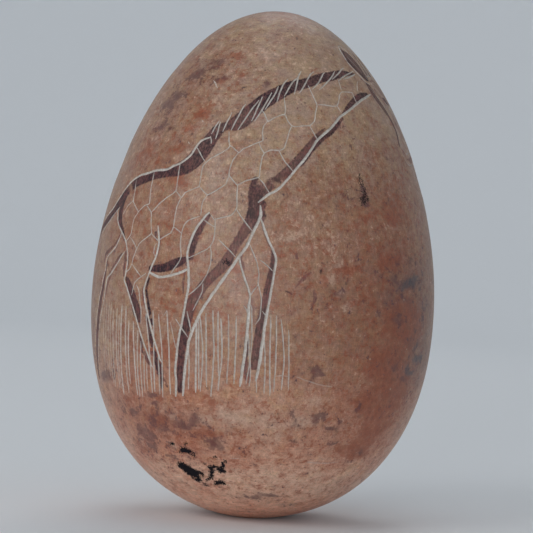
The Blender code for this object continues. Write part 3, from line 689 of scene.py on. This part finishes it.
def near_segments(plane, segments):
    """For each segment, given as (start, end, reach, then pairs of values at the start and the end):
    which plane points lie within reach of it, how far off it they are, and the values beside them."""
    order = np.argsort(plane[:, 1])
    climbing = plane[order]
    for start, end, reach, *pairs in segments:
        lowest, highest = np.minimum(start, end) - reach, np.maximum(start, end) + reach
        first, last = np.searchsorted(climbing[:, 1], [lowest[1], highest[1]])
        place = climbing[first:last]
        keep = (place[:, 0] > lowest[0]) & (place[:, 0] < highest[0])
        place = place[keep]
        step = end - start
        t = np.clip(((place - start) @ step) / max(step @ step, TINY), 0, 1)
        off = place - start - t[:, None] * step
        values = [first_value * (1 - t) + last_value * t for first_value, last_value in pairs]
        yield order[first:last][keep], np.hypot(off[:, 0], off[:, 1]), *values


def line_field(plane, lines):
    """For each plane point: share of the way from the nearest line's middle (0) to its lip (1),
    the line's whiteness, the cut's depth in mm, and the gap to the nearest lip in mm."""
    radius = plane_radius(plane)
    share, gap = np.full((2, len(plane)), FAR)
    white, depth = np.zeros((2, len(plane)))
    segments = (segment for line in lines for segment in line.segments())
    for chosen, off, half, whiteness, deepest in near_segments(plane, segments):
        here = off / half
        nearer = here < share[chosen]
        share[chosen[nearer]] = here[nearer]
        white[chosen[nearer]] = whiteness[nearer]
        bowl = np.clip(1 - here ** 2, 0, 1) ** CUT_ROUND
        depth[chosen] = np.maximum(depth[chosen], deepest * bowl)
        gap[chosen] = np.minimum(gap[chosen], (off - half) * radius[chosen])
    return share, white, depth, gap


def band_field(plane, bands):
    """For each plane point: mm outside the nearest band's edge (negative inside), and its strength."""
    radius = plane_radius(plane)
    edge, strength = np.full(len(plane), BAND_REACH), np.zeros(len(plane))
    for chosen, off, half, amount in near_segments(plane, band_segments(bands)):
        here = (off - half) * radius[chosen]
        nearer = here < edge[chosen]
        edge[chosen[nearer]] = here[nearer]
        strength[chosen[nearer]] = amount[nearer]
    return edge, strength


# ---------------------------------------------------------------- the stains

def back_stains(seed, count, big, small):
    """Stains of the same kinds strewn over the side that has no drawing."""
    chance = random.Random(seed)
    made = []
    for _ in range(count):
        size = small + (big - small) * chance.random() ** 2
        made.append((chance.uniform(PATCH_ANGLE, 360 - PATCH_ANGLE), chance.uniform(BACK_LOW, BACK_HIGH),
                     size * chance.uniform(0.8, 1.5), size * chance.uniform(0.6, 1.2),
                     chance.uniform(0.4, 1.0)))
    return made


def stain_field(plane, stains):
    """Soft round stains added up."""
    total = np.zeros(len(plane))
    radius = plane_radius(plane)
    for angle, height, across, up, amount in stains:
        middle = to_plane(np.array(angle), np.array(height))
        turn = (plane[:, 0] - middle[0] + math.pi) % (2 * math.pi) - math.pi
        dx = turn * radius / across
        dy = (plane[:, 1] - middle[1]) * radius / up
        total += amount * np.exp(-(dx * dx + dy * dy) / 2)
    return np.clip(total, -1, MOST_STAIN)


def bent_plane(plane):
    """The plane's points pushed about a little, which gives round stains uneven outlines."""
    places = [Vector(place) / (STAIN_PUSH_SIZE * MM) for place in on_egg(plane, np.zeros(len(plane)))]
    push = np.array([(noise.noise(place), noise.noise(place + PUSH_GAP)) for place in places])
    return plane + STAIN_PUSH * push / plane_radius(plane)[:, None]


def spot_points():
    """Points inside every small stain, so that the mesh can carry it."""
    made = []
    for angle, height, across, up, _ in RUST + DARK + SLATE + PALE_AND_SHEEN:
        if min(across, up) > SPOT_MOST:
            continue
        middle = to_plane(np.array(angle), np.array(height))
        columns, rows = (np.arange(-SPOT_REACHES * reach, SPOT_REACHES * reach + SPOT_STEP, SPOT_STEP)
                         for reach in (across, up))
        dx, dy = (part.ravel() for part in np.meshgrid(columns, rows))
        inside = (dx / across) ** 2 + (dy / up) ** 2 < SPOT_ROUND
        made.append(middle + np.stack([dx, dy], -1)[inside] / plane_radius(middle))
    return np.vstack(made)


# ---------------------------------------------------------------- the mesh

def spread_out(points, cell):
    """Drops points that share a small cell, in mm, with an earlier one."""
    cells = np.round(points * plane_radius(points)[:, None] / cell).astype(int)
    _, first = np.unique(cells, axis=0, return_index=True)
    return points[np.sort(first)]


def lattice(reach, low, high):
    """Staggered rows of points over the patch, up to its border in the unrolled plane."""
    start, end = np.interp([low, high], CLIMB, SIDE)
    climbs = np.interp(np.arange(start + PATCH_STEP, end - PATCH_STEP / 2, PATCH_STEP), SIDE, CLIMB)
    made = []
    for row, climb in enumerate(climbs):
        gap = PATCH_STRETCH * PATCH_STEP / float(plane_radius(np.array([0, climb])))
        count = int((2 * reach - gap) / gap)
        leftmost = (row % 2 - count) * gap / 2 + gap / 4
        made.append(np.stack([leftmost + np.arange(count) * gap, np.full(count, climb)], -1))
    return np.vstack(made)


def patch_points(reach, low, high, lines):
    """Points inside the patch, away from its border and from the cut lines."""
    special = np.vstack([band_outline(DYE), band_outline(FLAKES + specks()), spot_points()])
    special = spread_out(special, SPECIAL_CELL)
    loose = spread_out(np.vstack([special, lattice(reach, low, high)]), LOOSE_CELL)
    rim = RIM / plane_radius(loose)
    inside = np.abs(loose[:, 0]) < reach - rim
    inside &= (loose[:, 1] > low + rim) & (loose[:, 1] < high - rim)
    return loose[inside & (line_field(loose, lines)[3] > CLEARANCE)]


def patch_mesh(angles, climbs, lines):
    """The drawing's patch, triangulated in the unrolled plane. Gives its points, its faces, the given
    points that each one comes from, and the border's (row, column) places, which are given first."""
    columns, rows = np.meshgrid(np.radians(angles), climbs)
    border = np.ones(columns.shape, bool)
    border[1:-1, 1:-1] = False
    rim = np.stack([columns, rows], -1)[border]
    places, edges = [rim, patch_points(columns.max(), climbs[0], climbs[-1], lines)], []
    count = len(places[0]) + len(places[1])
    for line in lines:
        for row, closed in line.rows():
            edges += [(count + i, count + i + 1) for i in range(len(row) - 1)]
            if closed:
                edges.append((count + len(row) - 1, count))
            places.append(row)
            count += len(row)
    given = [Vector(place) for place in np.vstack(places)]
    made = geometry.delaunay_2d_cdt(given, edges, [], 0, MERGE)
    plane = np.array([tuple(place) for place in made[0]])
    return plane, [tuple(face) for face in made[2]], made[3], np.argwhere(border)


def side_rows():
    """Heights in mm of the mesh's rows, from the edge of the flat to the last one round the tip."""
    upper = HEIGHTS > TALL / 2
    end = np.interp(-TIP_RADIUS, -RADII[upper], SIDE[upper])
    return np.interp(np.linspace(0, end, round(end / ROW_STEP) + 1), SIDE, HEIGHTS)


def signed(column):
    """A column counted from the middle of the drawing, negative towards -X."""
    return column if column <= COLUMNS // 2 else column - COLUMNS


def side_mesh(lines):
    """The egg's side in the unrolled plane: the patch, and plain quads everywhere else. Gives the
    points, the faces, and the points round the flat and round the tip."""
    rows = side_rows()
    climbs = np.interp(rows, HEIGHTS, CLIMB)
    first, last = (int(row) for row in np.searchsorted(rows, [PATCH_LOW * DRAWN, PATCH_HIGH * DRAWN]))
    reach = round(PATCH_ANGLE / COLUMN_STEP)
    across = np.arange(-reach, reach + 1)
    plane, faces, origins, border = patch_mesh(across * COLUMN_STEP, climbs[first:last + 1], lines)

    corner = {}                      # the point at each (row, column)
    for point, sources in enumerate(origins):
        for source in sources:
            if source < len(border):
                row, column = border[source]
                corner[(first + row, across[column] % COLUMNS)] = point
    added = []
    for row in range(len(rows)):
        for column in range(COLUMNS):
            inside = first < row < last and abs(signed(column)) < reach
            if not inside and (row, column) not in corner:
                corner[(row, column)] = len(plane) + len(added)
                added.append((math.radians(signed(column) * COLUMN_STEP), climbs[row]))
    for row in range(len(rows) - 1):
        for column in range(COLUMNS):
            if not (first <= row < last and -reach <= signed(column) < reach):
                beside = (column + 1) % COLUMNS
                faces.append((corner[(row, column)], corner[(row, beside)],
                              corner[(row + 1, beside)], corner[(row + 1, column)]))
    rings = [[corner[(row, column)] for column in range(COLUMNS)] for row in (0, len(rows) - 1)]
    return np.vstack([plane, np.array(added)]), faces, *rings


def end_faces(low_ring, high_ring, tip, floor):
    """Triangles that close the tip and the flat round a point in the middle of each."""
    made = []
    for i in range(COLUMNS):
        beside = (i + 1) % COLUMNS
        made.append((high_ring[i], high_ring[beside], tip))
        made.append((low_ring[beside], low_ring[i], floor))
    return made


def on_egg(plane, depth):
    """World places in metres of plane points sunk below the egg's surface by depth mm."""
    height = plane_height(plane)
    slope = np.interp(height, HEIGHTS, SLOPES)
    lean = np.sqrt(1 + slope ** 2)
    out = egg_radius(height) - depth / lean
    up = height + depth * slope / lean
    turn = plane[:, 0]
    return np.stack([out * np.sin(turn), -out * np.cos(turn), up], -1) * MM


def hollows(places):
    """Small hollows that hand sanding leaves, in mm below the true egg."""
    waves = [noise.noise(Vector(place) / (WEAR_SIZE * MM)) for place in places]
    return WEAR_DEPTH + WEAR_DEPTH * np.array(waves)


def measures(plane, share, white):
    """What the stone's material reads at each point, by name."""
    flake, soot = band_field(plane, FLAKES + specks())
    dye, ink = band_field(plane, DYE)
    made = {"cut": share, "white": white, "dye": dye, "ink": ink, "flake": flake, "soot": soot}
    bent = bent_plane(plane)
    for seed, (name, (marks, *strewn)) in enumerate(STAINS.items()):
        made[name] = stain_field(bent, marks + back_stains(seed, *strewn))
    made["tint"] = stain_field(bent, TINTS + BACK_TINTS)
    # painted light from below: 1 at the flat, falling to 0 at the height where the painted lightening ends
    made["low"] = np.clip(1 - plane_height(plane) / PAINTED_LIGHT_FOOT, 0, 1)
    return made


def egg_mesh():
    """The whole egg as one closed mesh, with the drawing's measures as attributes."""
    lines = [Line(number, *row) for number, row in enumerate(all_lines())]
    plane, faces, low_ring, high_ring = side_mesh(lines)
    share, white, depth, _ = line_field(plane, lines)
    sunk = depth + hollows(on_egg(plane, np.zeros(len(plane))))
    sunk[low_ring] = 0
    places = on_egg(plane, sunk)
    places[low_ring, 2] = 0
    faces += end_faces(low_ring, high_ring, len(places), len(places) + 1)
    places = np.vstack([places, [(0, 0, (TALL - TIP_SINK) * MM), (0, 0, 0)]])

    mesh = bpy.data.meshes.new("stone_egg")
    mesh.from_pydata([tuple(place) for place in places], [], faces)
    for name, values in measures(plane, share, white).items():
        layer = mesh.attributes.new(name, "FLOAT", "POINT")
        ends = [FAR if name in ("cut", "dye", "flake") else 0.0] * 2
        layer.data.foreach_set("value", np.concatenate([values, ends]).astype(np.float32))
    mesh.validate()
    mesh.shade_smooth()
    mesh.set_sharp_from_angle(angle=math.radians(SHARP))
    return mesh


# ---------------------------------------------------------------- materials

def srgb(red, green, blue):
    """Linear colour from screen values of 0 to 255."""
    made = []
    for value in (red, green, blue):
        value /= 255
        made.append(value / 12.92 if value <= 0.04045 else ((value + 0.055) / 1.055) ** 2.4)
    return (*made, 1)


ASHY = srgb(166, 143, 124)
TAN = srgb(172, 144, 120)
BROWN = srgb(138, 96, 75)
RUDDY = srgb(141, 89, 64)
CREAM = srgb(197, 170, 150)
RUSTY = srgb(140, 70, 42)
DUSKY = srgb(84, 53, 56)
SLATY = srgb(76, 74, 80)
FRESH_DYE = srgb(30, 12, 26)
WORN_DYE = srgb(104, 56, 64)
SOOTY = srgb(22, 20, 26)
CHALK = srgb(205, 200, 194)
GREY_CHALK = srgb(180, 173, 165)
PALE_FLOOR = srgb(238, 242, 246)
WARM_CAST = (1.02, 1.01, 0.9, 1)
COLD_CAST = (0.985, 0.99, 1.08, 1)


class Shader:
    """A node material under construction."""

    def __init__(self, name):
        self.material = bpy.data.materials.new(name)
        self.material.use_nodes = True
        self.tree = self.material.node_tree
        self.surface = self.tree.nodes["Principled BSDF"]
        self.coordinates = self.tree.nodes.new("ShaderNodeTexCoord").outputs["Object"]

    def give(self, socket, value):
        if isinstance(value, bpy.types.NodeSocket):
            self.tree.links.new(value, socket)
        else:
            socket.default_value = value

    def finish(self, **values):
        """Sets inputs of the surface, given by name with _ for a space."""
        for name, value in values.items():
            self.give(self.surface.inputs[name.replace("_", " ")], value)
        return self.material

    def math(self, operation, first, second=0.0, third=0.0, clamp=False):
        node = self.tree.nodes.new("ShaderNodeMath")
        node.operation, node.use_clamp = operation, clamp
        for socket, given in zip(node.inputs, (first, second, third)):
            self.give(socket, given)
        return node.outputs[0]

    def times(self, first, second, clamp=False):
        return self.math("MULTIPLY", first, second, clamp=clamp)

    def line(self, value, slope, start):
        """Value times slope, plus start."""
        return self.math("MULTIPLY_ADD", value, slope, start)

    def add(self, *terms):
        """Sum of sockets, numbers and (socket, weight) pairs; a weighted noise is taken about its middle."""
        total = 0.0
        for term in terms:
            if isinstance(term, tuple):
                total = self.line(term[0], term[1], self.math("ADD", total, -0.5 * term[1]))
            else:
                total = self.math("ADD", total, term)
        return total

    def ramp(self, value, low, high, start=0.0, end=1.0):
        """Smooth step of value from low to high."""
        node = self.tree.nodes.new("ShaderNodeMapRange")
        node.interpolation_type = "SMOOTHSTEP"
        for socket, given in zip(node.inputs, (value, low, high, start, end)):
            self.give(socket, given)
        return node.outputs[0]

    def mix(self, share, first, second, blend="MIX"):
        node = self.tree.nodes.new("ShaderNodeMix")
        node.data_type, node.blend_type, node.clamp_factor = "RGBA", blend, True
        self.give(node.inputs[0], share)
        self.give(node.inputs[6], first)
        self.give(node.inputs[7], second)
        return node.outputs[2]

    def moved(self, seed, stretch=(1, 1, 1)):
        """The place on the object, moved by a seed and stretched."""
        node = self.tree.nodes.new("ShaderNodeMapping")
        self.give(node.inputs["Vector"], self.coordinates)
        node.inputs["Location"].default_value = (seed * 0.37, seed * 0.73, seed * 0.19)
        node.inputs["Scale"].default_value = stretch
        return node.outputs[0]

    def noise(self, per_mm, detail, roughness, twist, seed, stretch=(1, 1, 1)):
        """Noise with so many blobs per millimetre, about 0.3 to 0.7."""
        node = self.tree.nodes.new("ShaderNodeTexNoise")
        self.give(node.inputs["Vector"], self.moved(seed, stretch))
        node.inputs["Scale"].default_value = per_mm / MM
        node.inputs["Detail"].default_value = detail
        node.inputs["Roughness"].default_value = roughness
        node.inputs["Distortion"].default_value = twist
        return node.outputs[0]

    def dots(self, per_mm, size, share, seed):
        """Scattered round dots, 0 or 1 with a soft edge; share is the share of cells with one."""
        node = self.tree.nodes.new("ShaderNodeTexVoronoi")
        self.give(node.inputs["Vector"], self.moved(seed))
        node.inputs["Scale"].default_value = per_mm / MM
        parts = self.tree.nodes.new("ShaderNodeSeparateColor")
        self.give(parts.inputs[0], node.outputs["Color"])
        wide = self.line(parts.outputs[1], size, size * 0.4)
        near = self.ramp(self.math("DIVIDE", node.outputs["Distance"], wide), 1.0, 0.5)
        return self.times(near, self.math("LESS_THAN", parts.outputs[0], share))

    def scaled(self, colour, factor):
        node = self.tree.nodes.new("ShaderNodeVectorMath")
        node.operation = "SCALE"
        self.give(node.inputs[0], colour if isinstance(colour, bpy.types.NodeSocket) else colour[:3])
        self.give(node.inputs["Scale"], factor)
        return node.outputs[0]

    def measure(self, name):
        node = self.tree.nodes.new("ShaderNodeAttribute")
        node.attribute_name = name
        return node.outputs["Fac"]

    def bump(self, height, strength, distance_mm):
        node = self.tree.nodes.new("ShaderNodeBump")
        node.inputs["Strength"].default_value = strength
        node.inputs["Distance"].default_value = distance_mm * MM
        self.give(node.inputs["Height"], height)
        return node.outputs[0]


class StoneShader(Shader):
    """Polished stone with its stains, the brushed dye, the flakes and the scratched pale lines."""

    def __init__(self):
        super().__init__("dyed_stone")
        self.broad = self.noise(0.07, 3, 0.6, 0.8, 1)
        self.cloud = self.noise(0.3, 5, 0.65, 0.5, 2)
        self.blot = self.noise(0.9, 5, 0.68, 0.4, 3)
        self.other = self.noise(1.1, 5, 0.7, 0.5, 4)
        self.third = self.noise(0.8, 5, 0.7, 0.3, 14)
        self.grain = self.noise(2.4, 4, 0.65, 0.0, 5)
        self.fine = self.noise(7.0, 2, 0.5, 0.0, 6)
        self.brushed = self.noise(1.0, 3, 0.6, 0.0, 7, (5, 5, 0.8))
        self.ringed = self.noise(1.0, 3, 0.6, 0.0, 8, (0.8, 0.8, 5))

    def bare(self):
        """The mottled stone with its broad tints, warm or cold in places, and painted light on its lower
        part, which is painted lighter and cooler towards the flat.
        """
        tint, low = self.measure("tint"), self.measure("low")
        red = self.add(0.5, (self.cloud, 0.9), (self.blot, 1.1), (self.third, 0.7), (self.grain, 0.9),
                       (self.broad, 0.7))
        colour = self.mix(self.ramp(red, 0.2, 0.85), TAN, BROWN)
        colour = self.mix(self.times(tint, 0.55, True), colour, RUDDY)
        colour = self.mix(self.times(tint, -0.6, True), colour, ASHY)
        value = self.add(1.0, (self.cloud, 0.5), (self.other, 0.6), (self.grain, 0.9), (self.fine, 0.6),
                         (self.brushed, 0.95), (self.ringed, 0.6))
        # Painted light: towards the flat the colour is painted up to 2.5 times lighter
        colour = self.scaled(colour, self.times(value, self.line(low, 1.5, 1.0)))
        # The cast is warm or cold at random, and painted cooler towards the flat as part of the painted
        # light there
        cast = self.ramp(self.line(low, 0.22, self.noise(0.55, 4, 0.65, 0.4, 15)), 0.36, 0.64)
        return self.mix(1.0, colour, self.mix(cast, WARM_CAST, COLD_CAST), "MULTIPLY")

    def stained(self, colour, name, shade, cluster, always, soft, halo, most):
        """One kind of stain: flecks that crowd where the measure is high, and a veil round them."""
        near = self.measure(name)
        bar = self.line(near, -0.22, 0.65 - 0.25 * always)
        flecks = self.add(cluster, (self.grain, 0.55), (self.brushed, 0.35))
        flecks = self.ramp(flecks, bar, self.math("ADD", bar, soft))
        veil = self.times(near, self.ramp(cluster, 0.3, 0.6, 0.5 * halo, halo))
        core = self.ramp(self.add(near, (self.grain, 1.1), (self.fine, 0.8)), 0.7, 1.1)
        veil = self.line(core, 0.35, veil)
        mask = self.math("MAXIMUM", self.times(flecks, most), veil, clamp=True)
        mottle = self.add(1.0, (self.grain, 1.0), (self.fine, 0.5), (self.other, 0.9))
        return self.mix(mask, colour, self.scaled(shade, mottle))

    def dotted(self, colour, strength, shade, *kind):
        """Dots of a kind: how many per mm, their size, the share of cells with one, and a seed."""
        return self.mix(self.times(self.dots(*kind), strength), colour, shade)

    def dyed(self, colour):
        """The brushed dye, thin in streaks and frayed at its edge. Gives the colour and the dye's mask."""
        edge = self.add(self.measure("dye"), (self.grain, 0.22), (self.fine, 0.12))
        ink = self.measure("ink")
        thin = self.times(self.ramp(edge, -0.15, -0.5), self.line(ink, -0.45, 0.47))
        streak = self.add(0.5, (self.blot, 1.0), (self.grain, 1.1), (self.brushed, 1.2))
        dye = self.times(self.ramp(edge, 0.1, -0.14), self.math("SUBTRACT", ink, thin))
        dye = self.times(dye, self.ramp(streak, 0.75, 0.3, 0.84, 1.0))
        worn = self.ramp(self.add(streak, (ink, -1.2)), -0.38, 0.5)
        return self.mix(dye, colour, self.mix(worn, FRESH_DYE, WORN_DYE)), dye

    def flaked(self, colour):
        """The near black flakes and specks. Gives the colour and their mask."""
        edge = self.add(self.measure("flake"), (self.grain, 1.2), (self.fine, 1.3), (self.brushed, 0.6))
        flake = self.times(self.ramp(edge, 0.03, -0.07), self.measure("soot"))
        return self.mix(flake, colour, SOOTY), flake

    def scratched(self, colour):
        """The pale powdery cut lines. Gives the colour and their mask."""
        cut = self.ramp(self.add(self.measure("cut"), (self.fine, 0.4), (self.grain, 0.25)), 1.0, 0.6)
        cut = self.times(cut, self.measure("white"), True)
        powder = self.mix(self.ramp(self.grain, 0.35, 0.65), CHALK, GREY_CHALK)
        return self.mix(cut, colour, powder), cut


def stone_material():
    """The stone's layers, each laid over the last: bare stone, stains, dots, dye, flakes and cuts."""
    s = StoneShader()
    colour = s.bare()
    for name, shade, cluster, always, soft, halo, most in (
        # the pale kind also carries painted highlights and a painted pale reflection on the left edge
        ("pale", CREAM, s.other, 0.19, 0.14, 0.3, 0.55),
        ("rust", RUSTY, s.blot, 0.15, 0.15, 0.4, 0.7),
        ("slate", SLATY, s.third, 0.0, 0.12, 0.5, 0.8),
        ("dark", DUSKY, s.third, 0.08, 0.13, 0.25, 0.7),
    ):
        colour = s.stained(colour, name, shade, cluster, always, soft, halo, most)
    colour = s.dotted(colour, 0.6, srgb(84, 58, 52), 0.7, 0.16, 0.12, 11)
    colour = s.dotted(colour, 0.45, srgb(128, 66, 46), 0.8, 0.2, 0.2, 12)
    colour = s.dotted(colour, 0.35, srgb(200, 180, 156), 0.9, 0.16, 0.15, 13)
    colour, dye = s.dyed(colour)
    colour, flake = s.flaked(colour)
    colour, cut = s.scratched(colour)

    matt = s.math("MAXIMUM", s.math("MAXIMUM", cut, flake), s.times(dye, 0.5))
    relief = s.add(0.5, s.grain, (s.fine, 0.6), (s.brushed, 0.25), (s.ringed, 0.25))
    return s.finish(
        Base_Color=colour,
        Roughness=s.line(matt, 0.4, s.add(0.42, (s.grain, 0.25), (s.brushed, 0.12))),
        Specular_IOR_Level=s.line(matt, -0.35, 0.5),
        Normal=s.bump(relief, 0.3, 0.03),
    )


# ---------------------------------------------------------------- stage, lights and camera

# Metres, for the stage and the lights
STAGE_FLAT = 0.9                 # radius of the flat floor
STAGE_BEND = 0.5                 # radius of the bend up into the wall
STAGE_WALL = 1.3                 # height of the wall's top
BEND_STEPS = 12
STAGE_STEPS = 96                 # round the stage
STAGE_MERGE = 0.0001
WHITE = (1.0, 1.0, 1.0)
WARM = (1.0, 0.98, 0.97)
COOL = (0.95, 0.98, 1.0)

# The camera
CAMERA_AWAY = 0.3309             # metres from the egg's axis
CAMERA_LEAN = 3.13               # degrees: the tip tips to the right in the picture
CAMERA_LENS, CAMERA_SENSOR = 148.4, 36       # mm
CAMERA_RIGHT, CAMERA_DOWN = 0.25, 0.32       # mm off the middle of the egg
EGG_MIDDLE = LENGTH / 2 - GROUND             # mm above the flat


def link(item):
    bpy.context.scene.collection.objects.link(item)
    return item


def make_stage():
    """A floor that bends up into a round wall, so no horizon shows from any side."""
    outline = [(0.0, 0.0), (STAGE_FLAT, 0.0)]
    for i in range(1, BEND_STEPS + 1):
        turn = math.pi / 2 * i / BEND_STEPS
        outline.append((STAGE_FLAT + STAGE_BEND * math.sin(turn), STAGE_BEND * (1 - math.cos(turn))))
    outline.append((STAGE_FLAT + STAGE_BEND, STAGE_WALL))
    mesh = bpy.data.meshes.new("stage")
    mesh.from_pydata([(x, 0, z) for x, z in outline], [(i, i + 1) for i in range(len(outline) - 1)], [])
    stage = link(bpy.data.objects.new("stage", mesh))
    turned = stage.modifiers.new("turned", "SCREW")
    turned.steps = turned.render_steps = STAGE_STEPS
    turned.use_merge_vertices = True
    turned.merge_threshold = STAGE_MERGE
    turned.use_smooth_shade = True
    stage.data.materials.append(
        Shader("pale_floor").finish(Base_Color=PALE_FLOOR, Roughness=0.9, Specular_IOR_Level=0.2))
    stage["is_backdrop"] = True


def area_light(name, place, size, watts, colour):
    """A soft round lamp aimed at the middle of the egg."""
    lamp = bpy.data.lights.new(name, "AREA")
    lamp.shape, lamp.size, lamp.energy, lamp.color = "DISK", size, watts, colour
    item = link(bpy.data.objects.new(name, lamp))
    item.location = place
    item.rotation_mode = "QUATERNION"
    aim = Vector((0, 0, EGG_MIDDLE * MM)) - Vector(place)
    item.rotation_quaternion = aim.to_track_quat("-Z", "Y")
    item.visible_camera = False


def make_lights():
    area_light("key", (-0.8, -0.75, 0.6), 0.7, 2.75, WHITE)
    area_light("low_front", (-0.2, -0.95, 0.05), 0.5, 3.9, WARM)
    area_light("above", (-0.1, -0.15, 1.2), 0.8, 1.2, WHITE)
    area_light("rear", (0.1, 0.8, 1.1), 0.8, 2.4, WHITE)
    world = bpy.data.worlds.new("soft")
    world.use_nodes = True
    paint = world.node_tree.nodes["Background"]
    paint.inputs["Color"].default_value = (*COOL, 1)
    paint.inputs["Strength"].default_value = 0.2
    bpy.context.scene.world = world


def make_camera():
    """Square on to the drawing, leaning so that the egg's tip tips to the right."""
    lean = math.radians(CAMERA_LEAN)
    lens = bpy.data.cameras.new("camera")
    lens.sensor_width, lens.lens = CAMERA_SENSOR, CAMERA_LENS
    lens.clip_start, lens.clip_end = 0.01, 10
    camera = link(bpy.data.objects.new("camera", lens))
    right = Vector((math.cos(lean), 0, math.sin(lean)))
    up = Vector((-math.sin(lean), 0, math.cos(lean)))
    turn = Matrix((right, up, Vector((0, -1, 0)))).transposed()
    place = (CAMERA_RIGHT * MM, -CAMERA_AWAY, (EGG_MIDDLE - CAMERA_DOWN) * MM)
    camera.matrix_world = Matrix.Translation(place) @ turn.to_4x4()
    bpy.context.scene.camera = camera


def make_egg():
    egg = link(bpy.data.objects.new("stone_egg_carved", egg_mesh()))
    egg.data.materials.append(stone_material())
    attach(egg, "root")
    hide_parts("stone_egg")


make_egg()
make_stage()
make_lights()
make_camera()
bpy.context.scene.view_settings.view_transform = "Standard"

bounds_at_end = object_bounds()
[[list(corner) for corner in pair] for pair in (bounds_at_load, bounds_at_end)]
